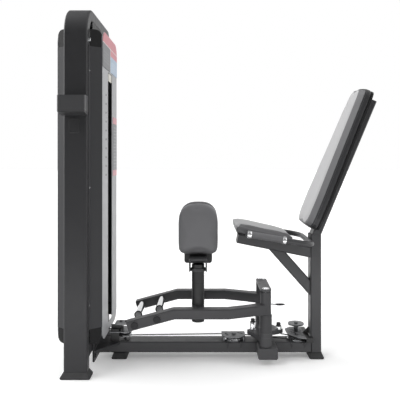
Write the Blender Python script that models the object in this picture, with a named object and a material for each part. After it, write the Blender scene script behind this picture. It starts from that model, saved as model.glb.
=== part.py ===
"""Seated inner and outer thigh machine with a weight stack tower.

Metres, +Z up.  The origin is the centre of the sole under the seat post, +X points away from the
weight tower, and the machine is centred on Y = 0.  "near" is the -Y side and "far" the +Y side.
"""
import math

import bmesh
import bpy
from mathutils import Vector
from mathutils.geometry import tessellate_polygon

# ---------------------------------------------------------------- driving dimensions (metres)
GAP = 0.0003                # clearance between pieces that touch
LAP = 0.0006                # how far welded shapes of one piece run into each other
WALL = 0.003                # wall of the frame tubes
SHEET = 0.002               # sheet metal covers

TOWER_X = -1.062            # middle of the tower tube
ARCH_DEPTH = 0.100          # tower tube along X
ARCH_WIDTH = 0.050          # tower tube across
ARCH_HALF = 0.280           # outer face of each tower upright
ARCH_TOP = 1.580
NEAR_BEND = 0.105           # bend radius of the near top corner, at the middle of the tube
FAR_BEND = 0.030
FOOT_H = 0.028              # rubber feet under the tower
BEAM_FOOT_H = 0.0265        # rubber feet under the floor beam
CROSS_TOP = 0.1245          # top of the cross beam between the tower uprights

FRONT_COVER_X = -0.9625     # front face of the front cover
REAR_COVER_X = -1.1585      # rear face of the rear cover
COVER_HALF = 0.196
COVER_Z = (0.125, 1.489)
COVER_R = 0.060
STRIP_R = 0.028             # corners of the black strips behind the side panels
SLOT_HALF = 0.056
SLOT_Z = (0.165, 1.323)
LABEL_T = 0.0015
PLACARD_Z = 1.330

BEAM_Z = (BEAM_FOOT_H + GAP, 0.0765)
BEAM_HALF = 0.045
BEAM_START_X = -1.0037
PIVOT_X = (-0.278, -0.190)  # pivot cross beam
PIVOT_HALF = 0.137
HUB_X = -0.241
HUB_Y = 0.100
HUB_TOP = 0.323
SHAFT_R = 0.015
BORE_R = 0.0158

ARM_Y = 0.170               # middle of the level arm tube
ARM_Z = 0.2455
ARM_W = 0.050
ARM_H = 0.044
ARM_BEND_X = -0.652         # where the arm starts to slope down to the foot pegs
ARM_END_X = -0.855
ARM_DROP = 0.0545
ARM_TURN_X = -0.415         # where the arm turns in towards its hub
PEG_X = (-0.826, -0.728)
PEG_R = 0.018
PEG_TIP_Y = -0.030

PAD_X = -0.547              # axis of the pad posts
PAD_Y = 0.1180
POST_R = 0.0282
POST_Z = (0.1965, 0.452)
CUSHION_HALF = 0.0915
CUSHION_Z = (0.488, 0.719)
WEB_Y = (0.030, 0.036)      # upright plate that carries each cushion
CUSHION_Y = (WEB_Y[1] + GAP, 0.098)

POST_HALF_X = 0.025
POST_HALF_Y = 0.0375
SEAT_POST_TOP = 0.572
LEAN = math.radians(22.7)   # back rest
LEAN_T = 0.040
LEAN_TOP = 1.198
SEAT_TILT = math.atan(0.1995)
RAIL_X = (-0.3635, -POST_HALF_X - GAP)
RAIL_Z0 = 0.5316            # underside of the rail at its front end
SEAT_X = (-0.391, -0.1213)        # seat board, at its underside
SEAT_HALF = 0.145
SEAT_BOARD_T = 0.010
SEAT_PAD_T = 0.035
BACK_BOARD_T = 0.011
BACK_PAD_T = 0.0555
BACK_S = (0.026, 0.716)     # back pad from the post top, along the lean

HANDLE_Y = 0.165
HANDLE_R = 0.0125
HANDLE_FRONT = (-0.334, 0.5937)
HANDLE_SLOPE = 0.168
HANDLE_CROSS_X = -POST_HALF_X - GAP - HANDLE_R

CABLE_R = 0.0025
IN_GROOVE = 0.0005          # depth of the cable's middle below a pulley's rim
PULLEY_R = 0.045
PULLEY_W = 0.013
CABLE_Z = 0.0870            # cable along the beam
MID_X = -0.381
REAR_X = -0.084
FRONT_X = -0.890            # smaller pulley, higher up, where the cable leaves the tower
FRONT_R = 0.032
FRONT_W = 0.019
FRONT_Z = 0.1045
UPPER_X = -0.073
UPPER_Y = 0.088
CARRIER_Z = (0.0948, 0.0988)      # top plates of the middle and rear pulleys
GUIDE_R = 0.0050            # two guide pins that lead the cable down to the front pulley
GUIDE_X = (-0.946, -0.921)
CAM_R = 0.126
CAM_Z = (0.100, 0.120)
SLEEVE_R = 0.0285
CAM_TOP = 0.139             # top of the cam sleeves, where the arm sleeves start

STACK_Z = 0.190             # underside of the lowest plate
PLATE_PITCH = 0.025
PLATE_T = 0.0245
PLATES = 14
LIFTED = 6                  # plates hung from the selector rod, counted from the top
PLATE_HALF = (0.055, 0.150)
ROD_Y = 0.105
ROD_R = 0.0125
DROP = (-1.142, IN_GROOVE - FRONT_R)    # cable on its way down behind the stack
TOP_PULLEY_Z = 1.440
BOTTOM_Z = 0.1625
LOW_CABLE_Z = BOTTOM_Z - 0.0283      # cable between the bottom pulley and the front guide

X, Y, Z = Vector((1, 0, 0)), Vector((0, 1, 0)), Vector((0, 0, 1))


# ---------------------------------------------------------------- outlines
def round_rect(w, h, r, n=3, cx=0.0, cy=0.0):
    """Rectangle w x h with corners of radius r, counter clockwise."""
    pts = []
    for k, (sx, sy) in enumerate(((1, 1), (-1, 1), (-1, -1), (1, -1))):
        mx = cx + sx * (w / 2 - r)
        my = cy + sy * (h / 2 - r)
        for i in range(n + 1):
            a = math.pi / 2 * (k + i / n)
            pts.append((mx + r * math.cos(a), my + r * math.sin(a)))
    return pts


def circle(r, n=24, cx=0.0, cy=0.0):
    return [(cx + r * math.cos(2 * math.pi * i / n), cy + r * math.sin(2 * math.pi * i / n))
            for i in range(n)]


def rect(x0, x1, y0, y1):
    return [(x0, y0), (x1, y0), (x1, y1), (x0, y1)]


def arc(cx, cy, r, a0, a1, n):
    """Points on an arc, angles in degrees."""
    out = []
    for i in range(n + 1):
        a = math.radians(a0 + (a1 - a0) * i / n)
        out.append((cx + r * math.cos(a), cy + r * math.sin(a)))
    return out


# ---------------------------------------------------------------- solids, as (points, faces)
def slab(loops, low, high, origin=(0, 0, 0), u=X, v=Y, n=Z):
    """Flat plate: the first loop is its edge and the others are holes through it."""
    if isinstance(loops[0][0], (int, float)):
        loops = [loops]
    o = Vector(origin)
    flat = [p for loop in loops for p in loop]
    count = len(flat)
    pts = [o + u * a + v * b + n * low for a, b in flat]
    pts += [o + u * a + v * b + n * high for a, b in flat]
    faces = []
    start = 0
    for loop in loops:
        m = len(loop)
        for i in range(m):
            j = (i + 1) % m
            faces.append((start + i, start + j, count + start + j, count + start + i))
        start += m
    if len(loops) == 1:
        faces.append(tuple(range(count)))
        faces.append(tuple(range(count, 2 * count)))
    else:
        flat3 = [[Vector((a, b, 0)) for a, b in loop] for loop in loops]
        for tri in tessellate_polygon(flat3):
            faces.append(tuple(tri))
            faces.append(tuple(count + k for k in tri))
    return pts, faces


def box(x0, x1, y0, y1, z0, z1):
    return slab(rect(x0, x1, y0, y1), z0, z1)


def loft(rings):
    """Closed body through rings of equal length, capped at both ends."""
    m = len(rings[0])
    pts = [Vector(p) for ring in rings for p in ring]
    faces = [tuple(range(m)), tuple(range(len(pts) - m, len(pts)))]
    for k in range(len(rings) - 1):
        for i in range(m):
            j = (i + 1) % m
            faces.append((k * m + i, k * m + j, (k + 1) * m + j, (k + 1) * m + i))
    return pts, faces


def turned(profile, origin, axis=Z, segments=24, ring=False):
    """Turned piece.  profile = (radius, height) pairs; ring=True closes it round an opening."""
    o = Vector(origin)
    a = axis.normalized()
    s = a.orthogonal().normalized()
    if abs(a.z) > 0.999:
        s = X.copy()
    t = a.cross(s)
    pts = []
    rows = []
    for r, h in profile:
        if r < 1e-7:
            rows.append([len(pts)] * segments)
            pts.append(o + a * h)
            continue
        rows.append(list(range(len(pts), len(pts) + segments)))
        for i in range(segments):
            ang = 2 * math.pi * i / segments
            pts.append(o + a * h + s * (r * math.cos(ang)) + t * (r * math.sin(ang)))
    faces = []
    pairs = list(zip(rows, rows[1:]))
    if ring:
        pairs.append((rows[-1], rows[0]))
    for low, high in pairs:
        for i in range(segments):
            j = (i + 1) % segments
            quad = [low[i], low[j], high[j], high[i]]
            face = [q for k, q in enumerate(quad) if q not in quad[:k]]
            if len(face) > 2:
                faces.append(tuple(face))
    return pts, faces


def cylinder(r, z0, z1, x, y, segments=20, bevel=0.0006):
    prof = [(0, z0), (r - bevel, z0), (r, z0 + bevel), (r, z1 - bevel), (r - bevel, z1), (0, z1)]
    return turned(prof, (x, y, 0), Z, segments)


def sleeve(r_in, r_out, z0, z1, x, y, segments=24):
    prof = [(r_in, z0), (r_out, z0), (r_out, z1), (r_in, z1)]
    return turned(prof, (x, y, 0), Z, segments, ring=True)


def tube(path, side, outer, inner=None, first_cut=None, last_cut=None):
    """Tube along a path.  Profiles are (along side, across) pairs; corners are mitred and the end
    cuts are given by the normals of their planes."""
    path = [Vector(p) for p in path]
    dirs = [(q - p).normalized() for p, q in zip(path, path[1:])]
    n = Vector(side).normalized()
    frames = []
    for k, d in enumerate(dirs):
        if k:
            n = dirs[k - 1].rotation_difference(d) @ n
        n = (n - d * n.dot(d)).normalized()
        frames.append((d, n.copy(), d.cross(n)))
    rings_out = []
    rings_in = []
    for k, p in enumerate(path):
        d, n, s = frames[min(k, len(dirs) - 1)]
        if k == 0:
            cut = Vector(first_cut) if first_cut else d
        elif k == len(dirs):
            cut = Vector(last_cut) if last_cut else d
        else:
            cut = (dirs[k - 1] + dirs[k]).normalized()
        for prof, rings in ((outer, rings_out), (inner, rings_in)):
            if prof is None:
                continue
            ring = []
            for a, b in prof:
                q = p + n * a + s * b
                ring.append(q - d * ((q - p).dot(cut) / d.dot(cut)))
            rings.append(ring)
    if inner is None:
        return loft(rings_out)
    m = len(outer)
    rows = rings_out + rings_in[::-1]
    pts = [q for ring in rows for q in ring]
    faces = []
    for k in range(len(rows)):
        k2 = (k + 1) % len(rows)
        for i in range(m):
            j = (i + 1) % m
            faces.append((k * m + i, k * m + j, k2 * m + j, k2 * m + i))
    return pts, faces


def box_tube(path, side, along, across, wall=WALL, r=0.005, n=1, **cuts):
    outer = round_rect(along, across, r, n)
    inner = round_rect(along - 2 * wall, across - 2 * wall, max(r - wall, 0.001), n)
    return tube(path, side, outer, inner, **cuts)


def hex_bolt(x, y, z, r=0.008, head=0.005, axis=Z):
    """Hexagon head on a short washer; z is the underside of the washer."""
    prof = [(0, -LAP), (r * 1.25, -LAP), (r * 1.25, 0.0012), (r, 0.0012), (r, head), (0, head)]
    return turned(prof, (x, y, z), axis, 6)


def mirror_y(solid):
    pts, faces = solid
    return [Vector((p.x, -p.y, p.z)) for p in pts], faces


# ---------------------------------------------------------------- nodes
def paint(name, colour, roughness, metallic=0.0):
    mat = bpy.data.materials.new(name)
    mat.use_nodes = True
    node = mat.node_tree.nodes["Principled BSDF"]
    node.inputs["Base Color"].default_value = (*colour, 1.0)
    node.inputs["Roughness"].default_value = roughness
    node.inputs["Metallic"].default_value = metallic
    return mat


MATERIALS = {
    "charcoal": ((0.060, 0.060, 0.062), 0.45, 0.0),
    "black": ((0.012, 0.012, 0.012), 0.50, 0.0),
    "silver": ((0.42, 0.42, 0.42), 0.40, 0.0),
    "chrome": ((0.80, 0.80, 0.80), 0.12, 1.0),
    "steel": ((0.35, 0.35, 0.36), 0.35, 1.0),
    "iron": ((0.025, 0.025, 0.026), 0.60, 0.0),
    "rubber": ((0.030, 0.030, 0.030), 0.80, 0.0),
    "vinyl": ((0.38, 0.38, 0.38), 0.55, 0.0),
    "plastic": ((0.015, 0.015, 0.015), 0.40, 0.0),
    "print": ((0.75, 0.52, 0.55), 0.35, 0.0),
    "rope": ((0.020, 0.020, 0.020), 0.50, 0.0),
}


def closed_mesh(name, solid, origin):
    pts, faces = solid
    mesh = bpy.data.meshes.new(name)
    mesh.from_pydata([tuple(q - origin) for q in pts], [], faces)
    bm = bmesh.new()
    bm.from_mesh(mesh)
    bmesh.ops.recalc_face_normals(bm, faces=bm.faces)
    bm.to_mesh(mesh)
    bm.free()
    return mesh


def welded(obj, name, solids, origin, solver):
    """Union of the piece's other shapes with its first one."""
    tools = []
    for k, solid in enumerate(solids):
        tool = bpy.data.objects.new(f"{name}_weld_{k}", closed_mesh(name, solid, origin))
        tool.location = origin
        bpy.context.scene.collection.objects.link(tool)
        mod = obj.modifiers.new("weld", "BOOLEAN")
        mod.operation = "UNION"
        mod.solver = solver
        mod.object = tool
        tools.append(tool)
    graph = bpy.context.evaluated_depsgraph_get()
    mesh = bpy.data.meshes.new_from_object(obj.evaluated_get(graph))
    obj.modifiers.clear()
    obj.data = mesh
    for tool in tools:
        bpy.data.objects.remove(tool, do_unlink=True)


def make(name, solids, material, origin=(0, 0, 0), sharp=35.0, solver="EXACT"):
    """One named object, its shapes welded into one closed body, with its origin where it turns."""
    if not isinstance(solids, list):
        solids = [solids]
    o = Vector(origin)
    obj = bpy.data.objects.new(name, closed_mesh(name, solids[0], o))
    obj.location = o
    bpy.context.scene.collection.objects.link(obj)
    if len(solids) > 1:
        welded(obj, name, solids[1:], o, solver)
    obj.data.shade_smooth()
    obj.data.set_sharp_from_angle(angle=math.radians(sharp))
    colour, roughness, metallic = MATERIALS[material]
    obj.data.materials.clear()
    obj.data.materials.append(paint(name + "_paint", colour, roughness, metallic))
    return obj


# ---------------------------------------------------------------- weight tower
def tower_arch():
    mid = ARCH_HALF - ARCH_WIDTH / 2
    top = ARCH_TOP - ARCH_WIDTH / 2
    line = [(-mid, FOOT_H + GAP)]
    line += arc(-mid + NEAR_BEND, top - NEAR_BEND, NEAR_BEND, 180, 90, 8)
    line += arc(mid - FAR_BEND, top - FAR_BEND, FAR_BEND, 90, 0, 4)
    line += [(mid, FOOT_H + GAP)]
    path = [(TOWER_X, y, z) for y, z in line]
    make("tower_arch", [box_tube(path, X, ARCH_DEPTH, ARCH_WIDTH)], "charcoal")


def tower_cross_beam():
    inner = ARCH_HALF - ARCH_WIDTH - GAP
    z = CROSS_TOP - ARCH_WIDTH / 2
    path = [(TOWER_X, -inner, z), (TOWER_X, inner, z)]
    make("tower_cross_beam", [box_tube(path, X, ARCH_DEPTH, ARCH_WIDTH)], "charcoal")


def foot(x, y, top_w, top_d, low_w, low_d, height):
    rings = []
    for z, w, d, r in ((0.0, low_w - 0.004, low_d - 0.004, 0.006), (0.002, low_w, low_d, 0.007),
                       (0.007, low_w, low_d, 0.007), (height, top_w, top_d, 0.005)):
        rings.append([(a, b, z) for a, b in round_rect(w, d, r, 2, x, y)])
    return loft(rings)


def rubber_feet():
    mid = ARCH_HALF - ARCH_WIDTH / 2
    for name, s in (("near", -1), ("far", 1)):
        make(name + "_tower_foot", foot(TOWER_X, s * mid, 0.102, 0.052, 0.128, 0.076, FOOT_H), "rubber")
    make("beam_foot", foot(-0.9115, 0, 0.056, 0.090, 0.071, 0.116, BEAM_FOOT_H), "rubber")
    make("seat_post_foot", foot(0, 0, 0.051, 0.076, 0.068, 0.116, BEAM_FOOT_H), "rubber")


def cover_outline():
    z0, z1 = COVER_Z
    return round_rect(2 * COVER_HALF, z1 - z0, COVER_R, 6, 0, (z0 + z1) / 2)


def side_fold(edge_x, plate_x):
    """Folded side of a cover on the near side: a black edge strip, the panel over it with its
    flange on the upright, and the flange screws."""
    sx = 1 if plate_x > edge_x else -1
    a = edge_x + sx * GAP
    b = plate_x - sx * 0.0006
    panel = [(a, -0.262), (a, -0.228), (b - sx * 0.0020, -COVER_HALF + 0.0026), (b, -COVER_HALF + 0.0004),
             (a + sx * SHEET, -0.230), (a + sx * SHEET, -0.262)]
    start = Vector((a + sx * 0.0012, -0.2262, 0))
    run = Vector((b - sx * 0.0014, -COVER_HALF + 0.0030, 0)) - start
    width = run.length
    corner = [(width, 0.129 + STRIP_R)] + arc(width - STRIP_R, 0.129 + STRIP_R, STRIP_R, 0, -90, 4)[1:]
    top = arc(width - STRIP_R, 1.485 - STRIP_R, STRIP_R, 90, 0, 4)
    strip = slab([(0, 0.129), (0, 1.485)] + top + corner, -0.0011, 0.0011, start, run.normalized(), Z,
                 run.normalized().cross(Z))
    solids = [strip, slab(panel, 0.193, 1.410)]
    for z in (1.303, 0.803, 0.301):
        prof = [(0, -LAP), (0.0055, -LAP), (0.0055, 0.0025), (0, 0.0025)]
        solids.append(turned(prof, (a + sx * SHEET, -0.241, z), X * sx, 6))
    return solids


def covers():
    holes = [rect(-SLOT_HALF, SLOT_HALF, *SLOT_Z)]
    holes += [circle(0.0035, 6, -0.109, 1.2125 - 0.040 * i) for i in range(10)]
    holes.append(rect(DROP[1] - 0.007, DROP[1] + 0.007, 0.1285, 0.1400))
    front = [slab([cover_outline()] + holes, -0.0025, 0, (FRONT_COVER_X, 0, 0), Y, Z, X)]
    rear = [slab(cover_outline(), 0, 0.0025, (REAR_COVER_X, 0, 0), Y, Z, X)]
    for solids, sx, plate_x in ((front, 1, FRONT_COVER_X), (rear, -1, REAR_COVER_X)):
        fold = side_fold(TOWER_X + sx * ARCH_DEPTH / 2, plate_x)
        solids += fold + [mirror_y(solid) for solid in fold]
    make("front_cover", front, "silver")
    make("rear_cover", rear, "silver")


def labels():
    z1 = COVER_Z[1] - 0.001
    half = COVER_HALF - 0.001
    r = COVER_R - 0.001
    top = [(y, z) for y, z in round_rect(2 * half, 0.4, r, 6, 0, z1 - 0.2) if z > z1 - 0.15]
    outline = [(half, PLACARD_Z)] + top + [(-half, PLACARD_Z)]
    at = (FRONT_COVER_X + GAP, 0, 0)
    placard = slab(outline, 0, LABEL_T, at, Y, Z, X)
    column = slab(round_rect(0.112, 0.285, 0.004, 2, 0.1325, 0.9825), 0, LABEL_T, at, Y, Z, X)
    make("placard", placard, "print")
    make("stack_label", column, "print")


def tray():
    x0, x1 = -1.1225, -1.006
    y0, y1 = -0.350, -ARCH_HALF - GAP
    cx, cy = (x0 + x1) / 2, (y0 + y1) / 2
    w, d = x1 - x0, y1 - y0
    loops = [round_rect(w, d, 0.008, 3, cx, cy), round_rect(w - 0.006, d - 0.006, 0.005, 3, cx, cy)]
    walls = slab(loops, 1.1214, 1.188)
    y0 += 0.0026
    y1 -= 0.0026
    side = [(y0, 1.1225), (y0, 1.118), (y1, 1.108), (y1, 1.1225)]
    base = slab(side, x0 + 0.0026, x1 - 0.0026, (0, 0, 0), Y, Z, X)
    make("accessory_tray", [walls, base], "plastic")


def rods():
    """Two guide rods with stop collars, on the base plate that also carries the bottom pulley."""
    z0 = CROSS_TOP + GAP
    top = ARCH_TOP - ARCH_WIDTH - GAP
    x = DROP[0] + 0.0275
    solids = [box(-1.126, -1.030, -0.130, 0.130, z0, z0 + 0.005)]
    for s in (-1, 1):
        solids.append(cylinder(ROD_R, z0 + 0.001, top, TOWER_X, s * ROD_Y, 20))
        solids.append(cylinder(0.022, z0 + 0.002, STACK_Z - GAP, TOWER_X, s * ROD_Y, 20))
        y = DROP[1] + s * 0.0093
        solids.append(box(x - 0.010, x + 0.010, y - 0.0015, y + 0.0015, z0 + 0.001, 0.174))
    solids.append(turned([(0, -0.0085), (0.0048, -0.0085), (0.0048, 0.0085), (0, 0.0085)],
                         (x, DROP[1], BOTTOM_Z), Y, 12))
    make("guide_rods", solids, "chrome", solver="MANIFOLD")


def block(levels, holes, origin):
    """Closed body through outlines at rising heights, with straight holes from end to end."""
    o = Vector(origin)
    m = len(levels[0][1])
    pts = [o + Vector((a, b, z)) for z, loop in levels for a, b in loop]
    faces = []
    for k in range(len(levels) - 1):
        for i in range(m):
            j = (i + 1) % m
            faces.append((k * m + i, k * m + j, (k + 1) * m + j, (k + 1) * m + i))
    ends = []
    for end, (z, loop) in ((0, levels[0]), (len(levels) - 1, levels[-1])):
        index = list(range(end * m, end * m + m))
        for hole in holes:
            index += range(len(pts), len(pts) + len(hole))
            pts += [o + Vector((a, b, z)) for a, b in hole]
        ends.append(index)
        loops = [[Vector((a, b, 0)) for a, b in ring] for ring in [loop] + holes]
        faces += [tuple(index[k] for k in tri) for tri in tessellate_polygon(loops)]
    start = m
    for hole in holes:
        c = len(hole)
        for i in range(c):
            j = (i + 1) % c
            faces.append((ends[0][start + i], ends[0][start + j], ends[1][start + j], ends[1][start + i]))
        start += c
    return pts, faces


def plates(first, count):
    """Weight plates resting on each other, one body with a groove at each joint."""
    a, b = PLATE_HALF
    wide = round_rect(2 * a, 2 * b, 0.006, 1)
    slim = round_rect(2 * a - 0.006, 2 * b - 0.006, 0.004, 1)
    levels = []
    for k in range(count):
        z = STACK_Z + PLATE_PITCH * (first + k)
        levels += [(z, wide), (z + PLATE_T - 0.0010, wide)]
        if k < count - 1:
            levels += [(z + PLATE_T - 0.0010, slim), (z + PLATE_PITCH, slim)]
    holes = [circle(ROD_R + 0.0012, 12, 0, s * ROD_Y) for s in (-1, 1)]
    holes.append(circle(0.0145, 12))
    return block(levels, holes, (TOWER_X, 0, 0))


def stack():
    low = PLATES - LIFTED
    make("resting_plates", plates(0, low), "iron")
    make("lifted_plates", plates(low, LIFTED), "iron", (TOWER_X, 0, STACK_Z + PLATE_PITCH * low))
    z = STACK_Z + PLATE_PITCH * PLATES
    holes = [circle(ROD_R + 0.0012, 16, 0, s * ROD_Y) for s in (-1, 1)]
    head = slab([round_rect(0.116, 0.30, 0.008, 2)] + holes, z, z + 0.030, (TOWER_X, 0, 0))
    bushes = [sleeve(ROD_R + 0.0016, 0.019, z + 0.030 - LAP, z + 0.052, TOWER_X, s * ROD_Y, 20)
              for s in (-1, 1)]
    lug = turned([(0, -LAP), (0.013, -LAP), (0.013, 0.012), (0.007, 0.018), (0.007, 0.030), (0, 0.030)],
                 (TOWER_X, 0, z + 0.030), Z, 16)
    low_z = STACK_Z + PLATE_PITCH * low
    rod = cylinder(0.0125, STACK_Z + 0.004, z + 0.001, TOWER_X, 0, 16)
    make("head_plate", [head, lug, rod] + bushes, "steel", (TOWER_X, 0, z))
    pin_z = low_z + PLATE_T / 2
    front = TOWER_X + PLATE_HALF[0] + GAP
    knob = turned([(0, 0), (0.007, 0), (0.007, 0.010), (0.013, 0.014), (0.013, 0.028), (0.010, 0.033),
                   (0, 0.033)], (front, 0, pin_z), X, 20)
    make("selector_pin", [knob], "plastic", (front, 0, pin_z))
    return z + 0.060 + GAP


def wheel(r, width, bore=0.0062):
    """Grooved pulley, as a ring profile centred on its own plane."""
    h = width / 2
    return [(bore, -h), (0.014, -h), (0.016, -h * 0.5), (r - 0.012, -h * 0.5), (r - 0.010, -h), (r, -h),
            (r - 0.004, 0), (r, h), (bore, h)]


def tower_pulleys():
    """Angled top pulley in its hanger, and the bottom pulley behind the cross beam."""
    dx = DROP[0] - TOWER_X
    dy = DROP[1]
    reach = math.hypot(dx, dy) / 2
    centre = (TOWER_X + dx / 2, dy / 2, TOP_PULLEY_Z)
    axis = Vector((-dy, dx, 0)).normalized()
    make("top_pulley", turned(wheel(reach - CABLE_R + 0.0030, 0.018), centre, axis, 28, ring=True),
         "chrome", centre)
    along = Vector((dx, dy, 0)).normalized()
    under = ARCH_TOP - ARCH_WIDTH - GAP
    cheek = [(-0.016, TOP_PULLEY_Z - 0.020), (0.016, TOP_PULLEY_Z - 0.020), (0.026, under - 0.003),
             (-0.026, under - 0.003)]
    x1 = TOWER_X + ARCH_DEPTH / 2
    solids = [box(TOWER_X - 0.049, x1 - 0.001, centre[1] - 0.022, centre[1] + 0.022, under - 0.0037, under)]
    for s in (-1, 1):
        low, high = sorted((0.0105 * s, 0.0145 * s))
        solids.append(slab(cheek, low, high, (centre[0], centre[1], 0), along, Z, axis))
    solids.append(turned([(0, -0.0120), (0.0055, -0.0120), (0.0055, 0.0120), (0, 0.0120)], centre, axis, 12))
    solids.append(top_plate(under - 0.0004))
    make("top_pulley_bracket", solids, "black", solver="MANIFOLD")
    centre = (DROP[0] + 0.0275, DROP[1], BOTTOM_Z)
    make("bottom_pulley", turned(wheel(0.027, 0.014, 0.0052), centre, Y, 24, ring=True), "chrome", centre)


def top_plate(z1):
    """Plate under the front of the arch top, with a row of slots along it."""
    slots = [rect(y - 0.011, y + 0.011, 1.492, 1.500) for y in [-0.135 + 0.030 * i for i in range(10)]]
    x1 = TOWER_X + ARCH_DEPTH / 2
    return slab([rect(-0.165, 0.200, 1.468, z1)] + slots, -0.003, 0, (x1, 0, 0), Y, Z, X)


# ---------------------------------------------------------------- floor frame
def flange():
    x0 = TOWER_X + ARCH_DEPTH / 2 + GAP
    x1 = BEAM_START_X - GAP
    solids = [slab(round_rect(0.340, 0.101, 0.010, 3, 0, 0.0765), x0, x1, (0, 0, 0), Y, Z, X)]
    for s in (-1, 1):
        side = s * (BEAM_HALF + GAP)
        solids.append(slab([(x1 - LAP, s * 0.165), (x1 - LAP, side), (-0.9075, side)], 0.066, 0.0765))
        for y, z in ((0.152, 0.052), (0.152, 0.098), (0.100, 0.108)):
            solids.append(hex_bolt(x1, s * y, z, 0.0085, 0.0065, X))
    make("tower_flange", solids, "charcoal")


def hub_nuts():
    for name, s in (("near", -1), ("far", 1)):
        prof = [(0, 0), (0.017, 0), (0.017, 0.002), (0.012, 0.002), (0.012, 0.0045), (0, 0.0045)]
        make(name + "_hub_nut", turned(prof, (HUB_X, s * HUB_Y, HUB_TOP + 0.0128), Z, 12), "chrome")


def floor_beam():
    """Floor beam with the stubs of the pivot cross beam and the gussets under two pulleys."""
    z = sum(BEAM_Z) / 2
    height = BEAM_Z[1] - BEAM_Z[0]
    path = [(BEAM_START_X, 0, z), (-POST_HALF_X - GAP, 0, z)]
    solids = [box_tube(path, Y, 2 * BEAM_HALF, height)]
    x = sum(PIVOT_X) / 2
    for s in (-1, 1):
        path = [(x, s * (BEAM_HALF - 0.0015), z), (x, s * PIVOT_HALF, z)]
        solids.append(box_tube(path, X, PIVOT_X[1] - PIVOT_X[0], height - 0.0006))
        low, high = sorted((s * (PIVOT_HALF - 0.004), s * PIVOT_HALF))
        solids.append(box(PIVOT_X[0] + 0.002, PIVOT_X[1] - 0.002, low, high, BEAM_Z[0] + 0.002, BEAM_Z[1] - 0.002))
        for px in (MID_X, REAR_X):
            for lug in (px - 0.030, px + 0.030):
                side = [(BEAM_HALF - 0.0010, 0.0763), (BEAM_HALF + 0.0085, 0.0763), (BEAM_HALF + 0.0085, 0.0700),
                        (BEAM_HALF + 0.0020, 0.0500), (BEAM_HALF - 0.0010, 0.0500)]
                solids.append(slab([(s * a, b) for a, b in side], -0.002, 0.002, (lug, 0, 0), Y, Z, X))
    make("floor_beam", solids, "charcoal")


def axle(x, y, z0, z1):
    return turned([(0, z0), (0.0055, z0), (0.0055, z1), (0, z1)], (x, y, 0), Z, 12)


def bar_slot(x0, y0, x1, y1, half=0.0030):
    """Outline of a straight slot between two points."""
    d = Vector((x1 - x0, y1 - y0)).normalized()
    n = Vector((-d.y, d.x)) * half
    e = d * half * 0.7
    m = n * 0.45
    ends = [(x0 - m.x - e.x, y0 - m.y - e.y), (x0 - n.x, y0 - n.y), (x1 - n.x, y1 - n.y), (x1 - m.x + e.x, y1 - m.y + e.y)]
    return ends + [(x1 + m.x + e.x, y1 + m.y + e.y), (x1 + n.x, y1 + n.y), (x0 + n.x, y0 + n.y), (x0 + m.x - e.x, y0 + m.y - e.y)]


def front_pulley_unit():
    """Two decks over the beam with the front pulley between them, and the cheeks that hold the two
    guide pins over which the cable comes down from the tower."""
    z0 = BEAM_Z[1] + GAP
    y = DROP[1]
    solids = [slab(round_rect(0.0875, 0.082, 0.020, 4, -0.91375, 0), z0, z0 + 0.005)]
    solids.append(axle(FRONT_X, 0, z0 + 0.005 - LAP, 0.1190 + LAP))
    for low, high in ((y - 0.0080, 0.1345), (y + 0.0060, 0.1530 + LAP)):
        solids.append(box(-0.9530, -0.9145, low, low + 0.0020, z0 + 0.005 - LAP, high))
    for x, z in zip(GUIDE_X, guide_heights()):
        solids.append(turned([(0, -0.0070), (GUIDE_R, -0.0070), (GUIDE_R, 0.0070), (0, 0.0070)], (x, y, z), Y, 12))
    deck = [rect(-0.957, -0.868, -0.046, 0.046), rect(-0.9524, -0.9151, y - 0.0062, y + 0.0062)]
    solids.append(slab(deck, 0.1190, 0.1230))
    solids.append(box(-0.930, -0.900, -0.020, 0.024, 0.1230 - LAP, 0.1530 + LAP))
    solids.append(slab(round_rect(0.067, 0.068, 0.006, 2, -0.9015, -0.006), 0.1530, 0.1570))
    solids.append(hex_bolt(-0.903, -0.036, 0.1230, 0.0062, 0.0110))
    for x in (-0.912, -0.886):
        solids.append(hex_bolt(x, 0.008, 0.1570, 0.0065, 0.0045))
    make("front_pulley_bracket", solids, "black")
    make("front_pulley", turned(wheel(FRONT_R, FRONT_W), (FRONT_X, 0, FRONT_Z), Z, 24, ring=True), "chrome",
         (FRONT_X, 0, FRONT_Z))


def guide_heights():
    """Heights of the two guide pins: the cable passes over the first and under the second."""
    reach = GUIDE_R + CABLE_R + 0.0006
    return LOW_CABLE_Z - reach, FRONT_Z + reach


def mid_pulley_unit():
    z0 = BEAM_Z[1] + GAP
    low, high = CARRIER_Z
    slots = [bar_slot(MID_X - 0.0390, 0.0130, MID_X - 0.0277, -0.0130),
             bar_slot(MID_X + 0.0196, 0.0240, MID_X + 0.0421, 0.0070)]
    x = MID_X - 0.001
    deck = arc(x - 0.021, -0.009, 0.034, 180, 270, 5) + arc(x + 0.021, -0.009, 0.034, 270, 360, 5)
    deck += [(x + 0.055, 0.040), (x + 0.052, 0.043), (x - 0.052, 0.043), (x - 0.055, 0.040)]
    solids = [slab([deck] + slots, low, high)]
    solids.append(slab(circle(0.0485, 28, MID_X, 0), z0, z0 + 0.0025))
    solids.append(axle(MID_X, 0, z0 + 0.0025 - LAP, low + LAP))
    solids.append(hex_bolt(MID_X, 0, high, 0.0085, 0.0060))
    for a in (-0.0460, 0.0460):
        solids.append(axle(MID_X + a, -0.0290, z0, low + LAP))
    make("middle_pulley_bracket", solids, "steel")
    make("middle_pulley", turned(wheel(PULLEY_R, PULLEY_W), (MID_X, 0, CABLE_Z), Z, 24, ring=True), "chrome",
         (MID_X, 0, CABLE_Z))


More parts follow.
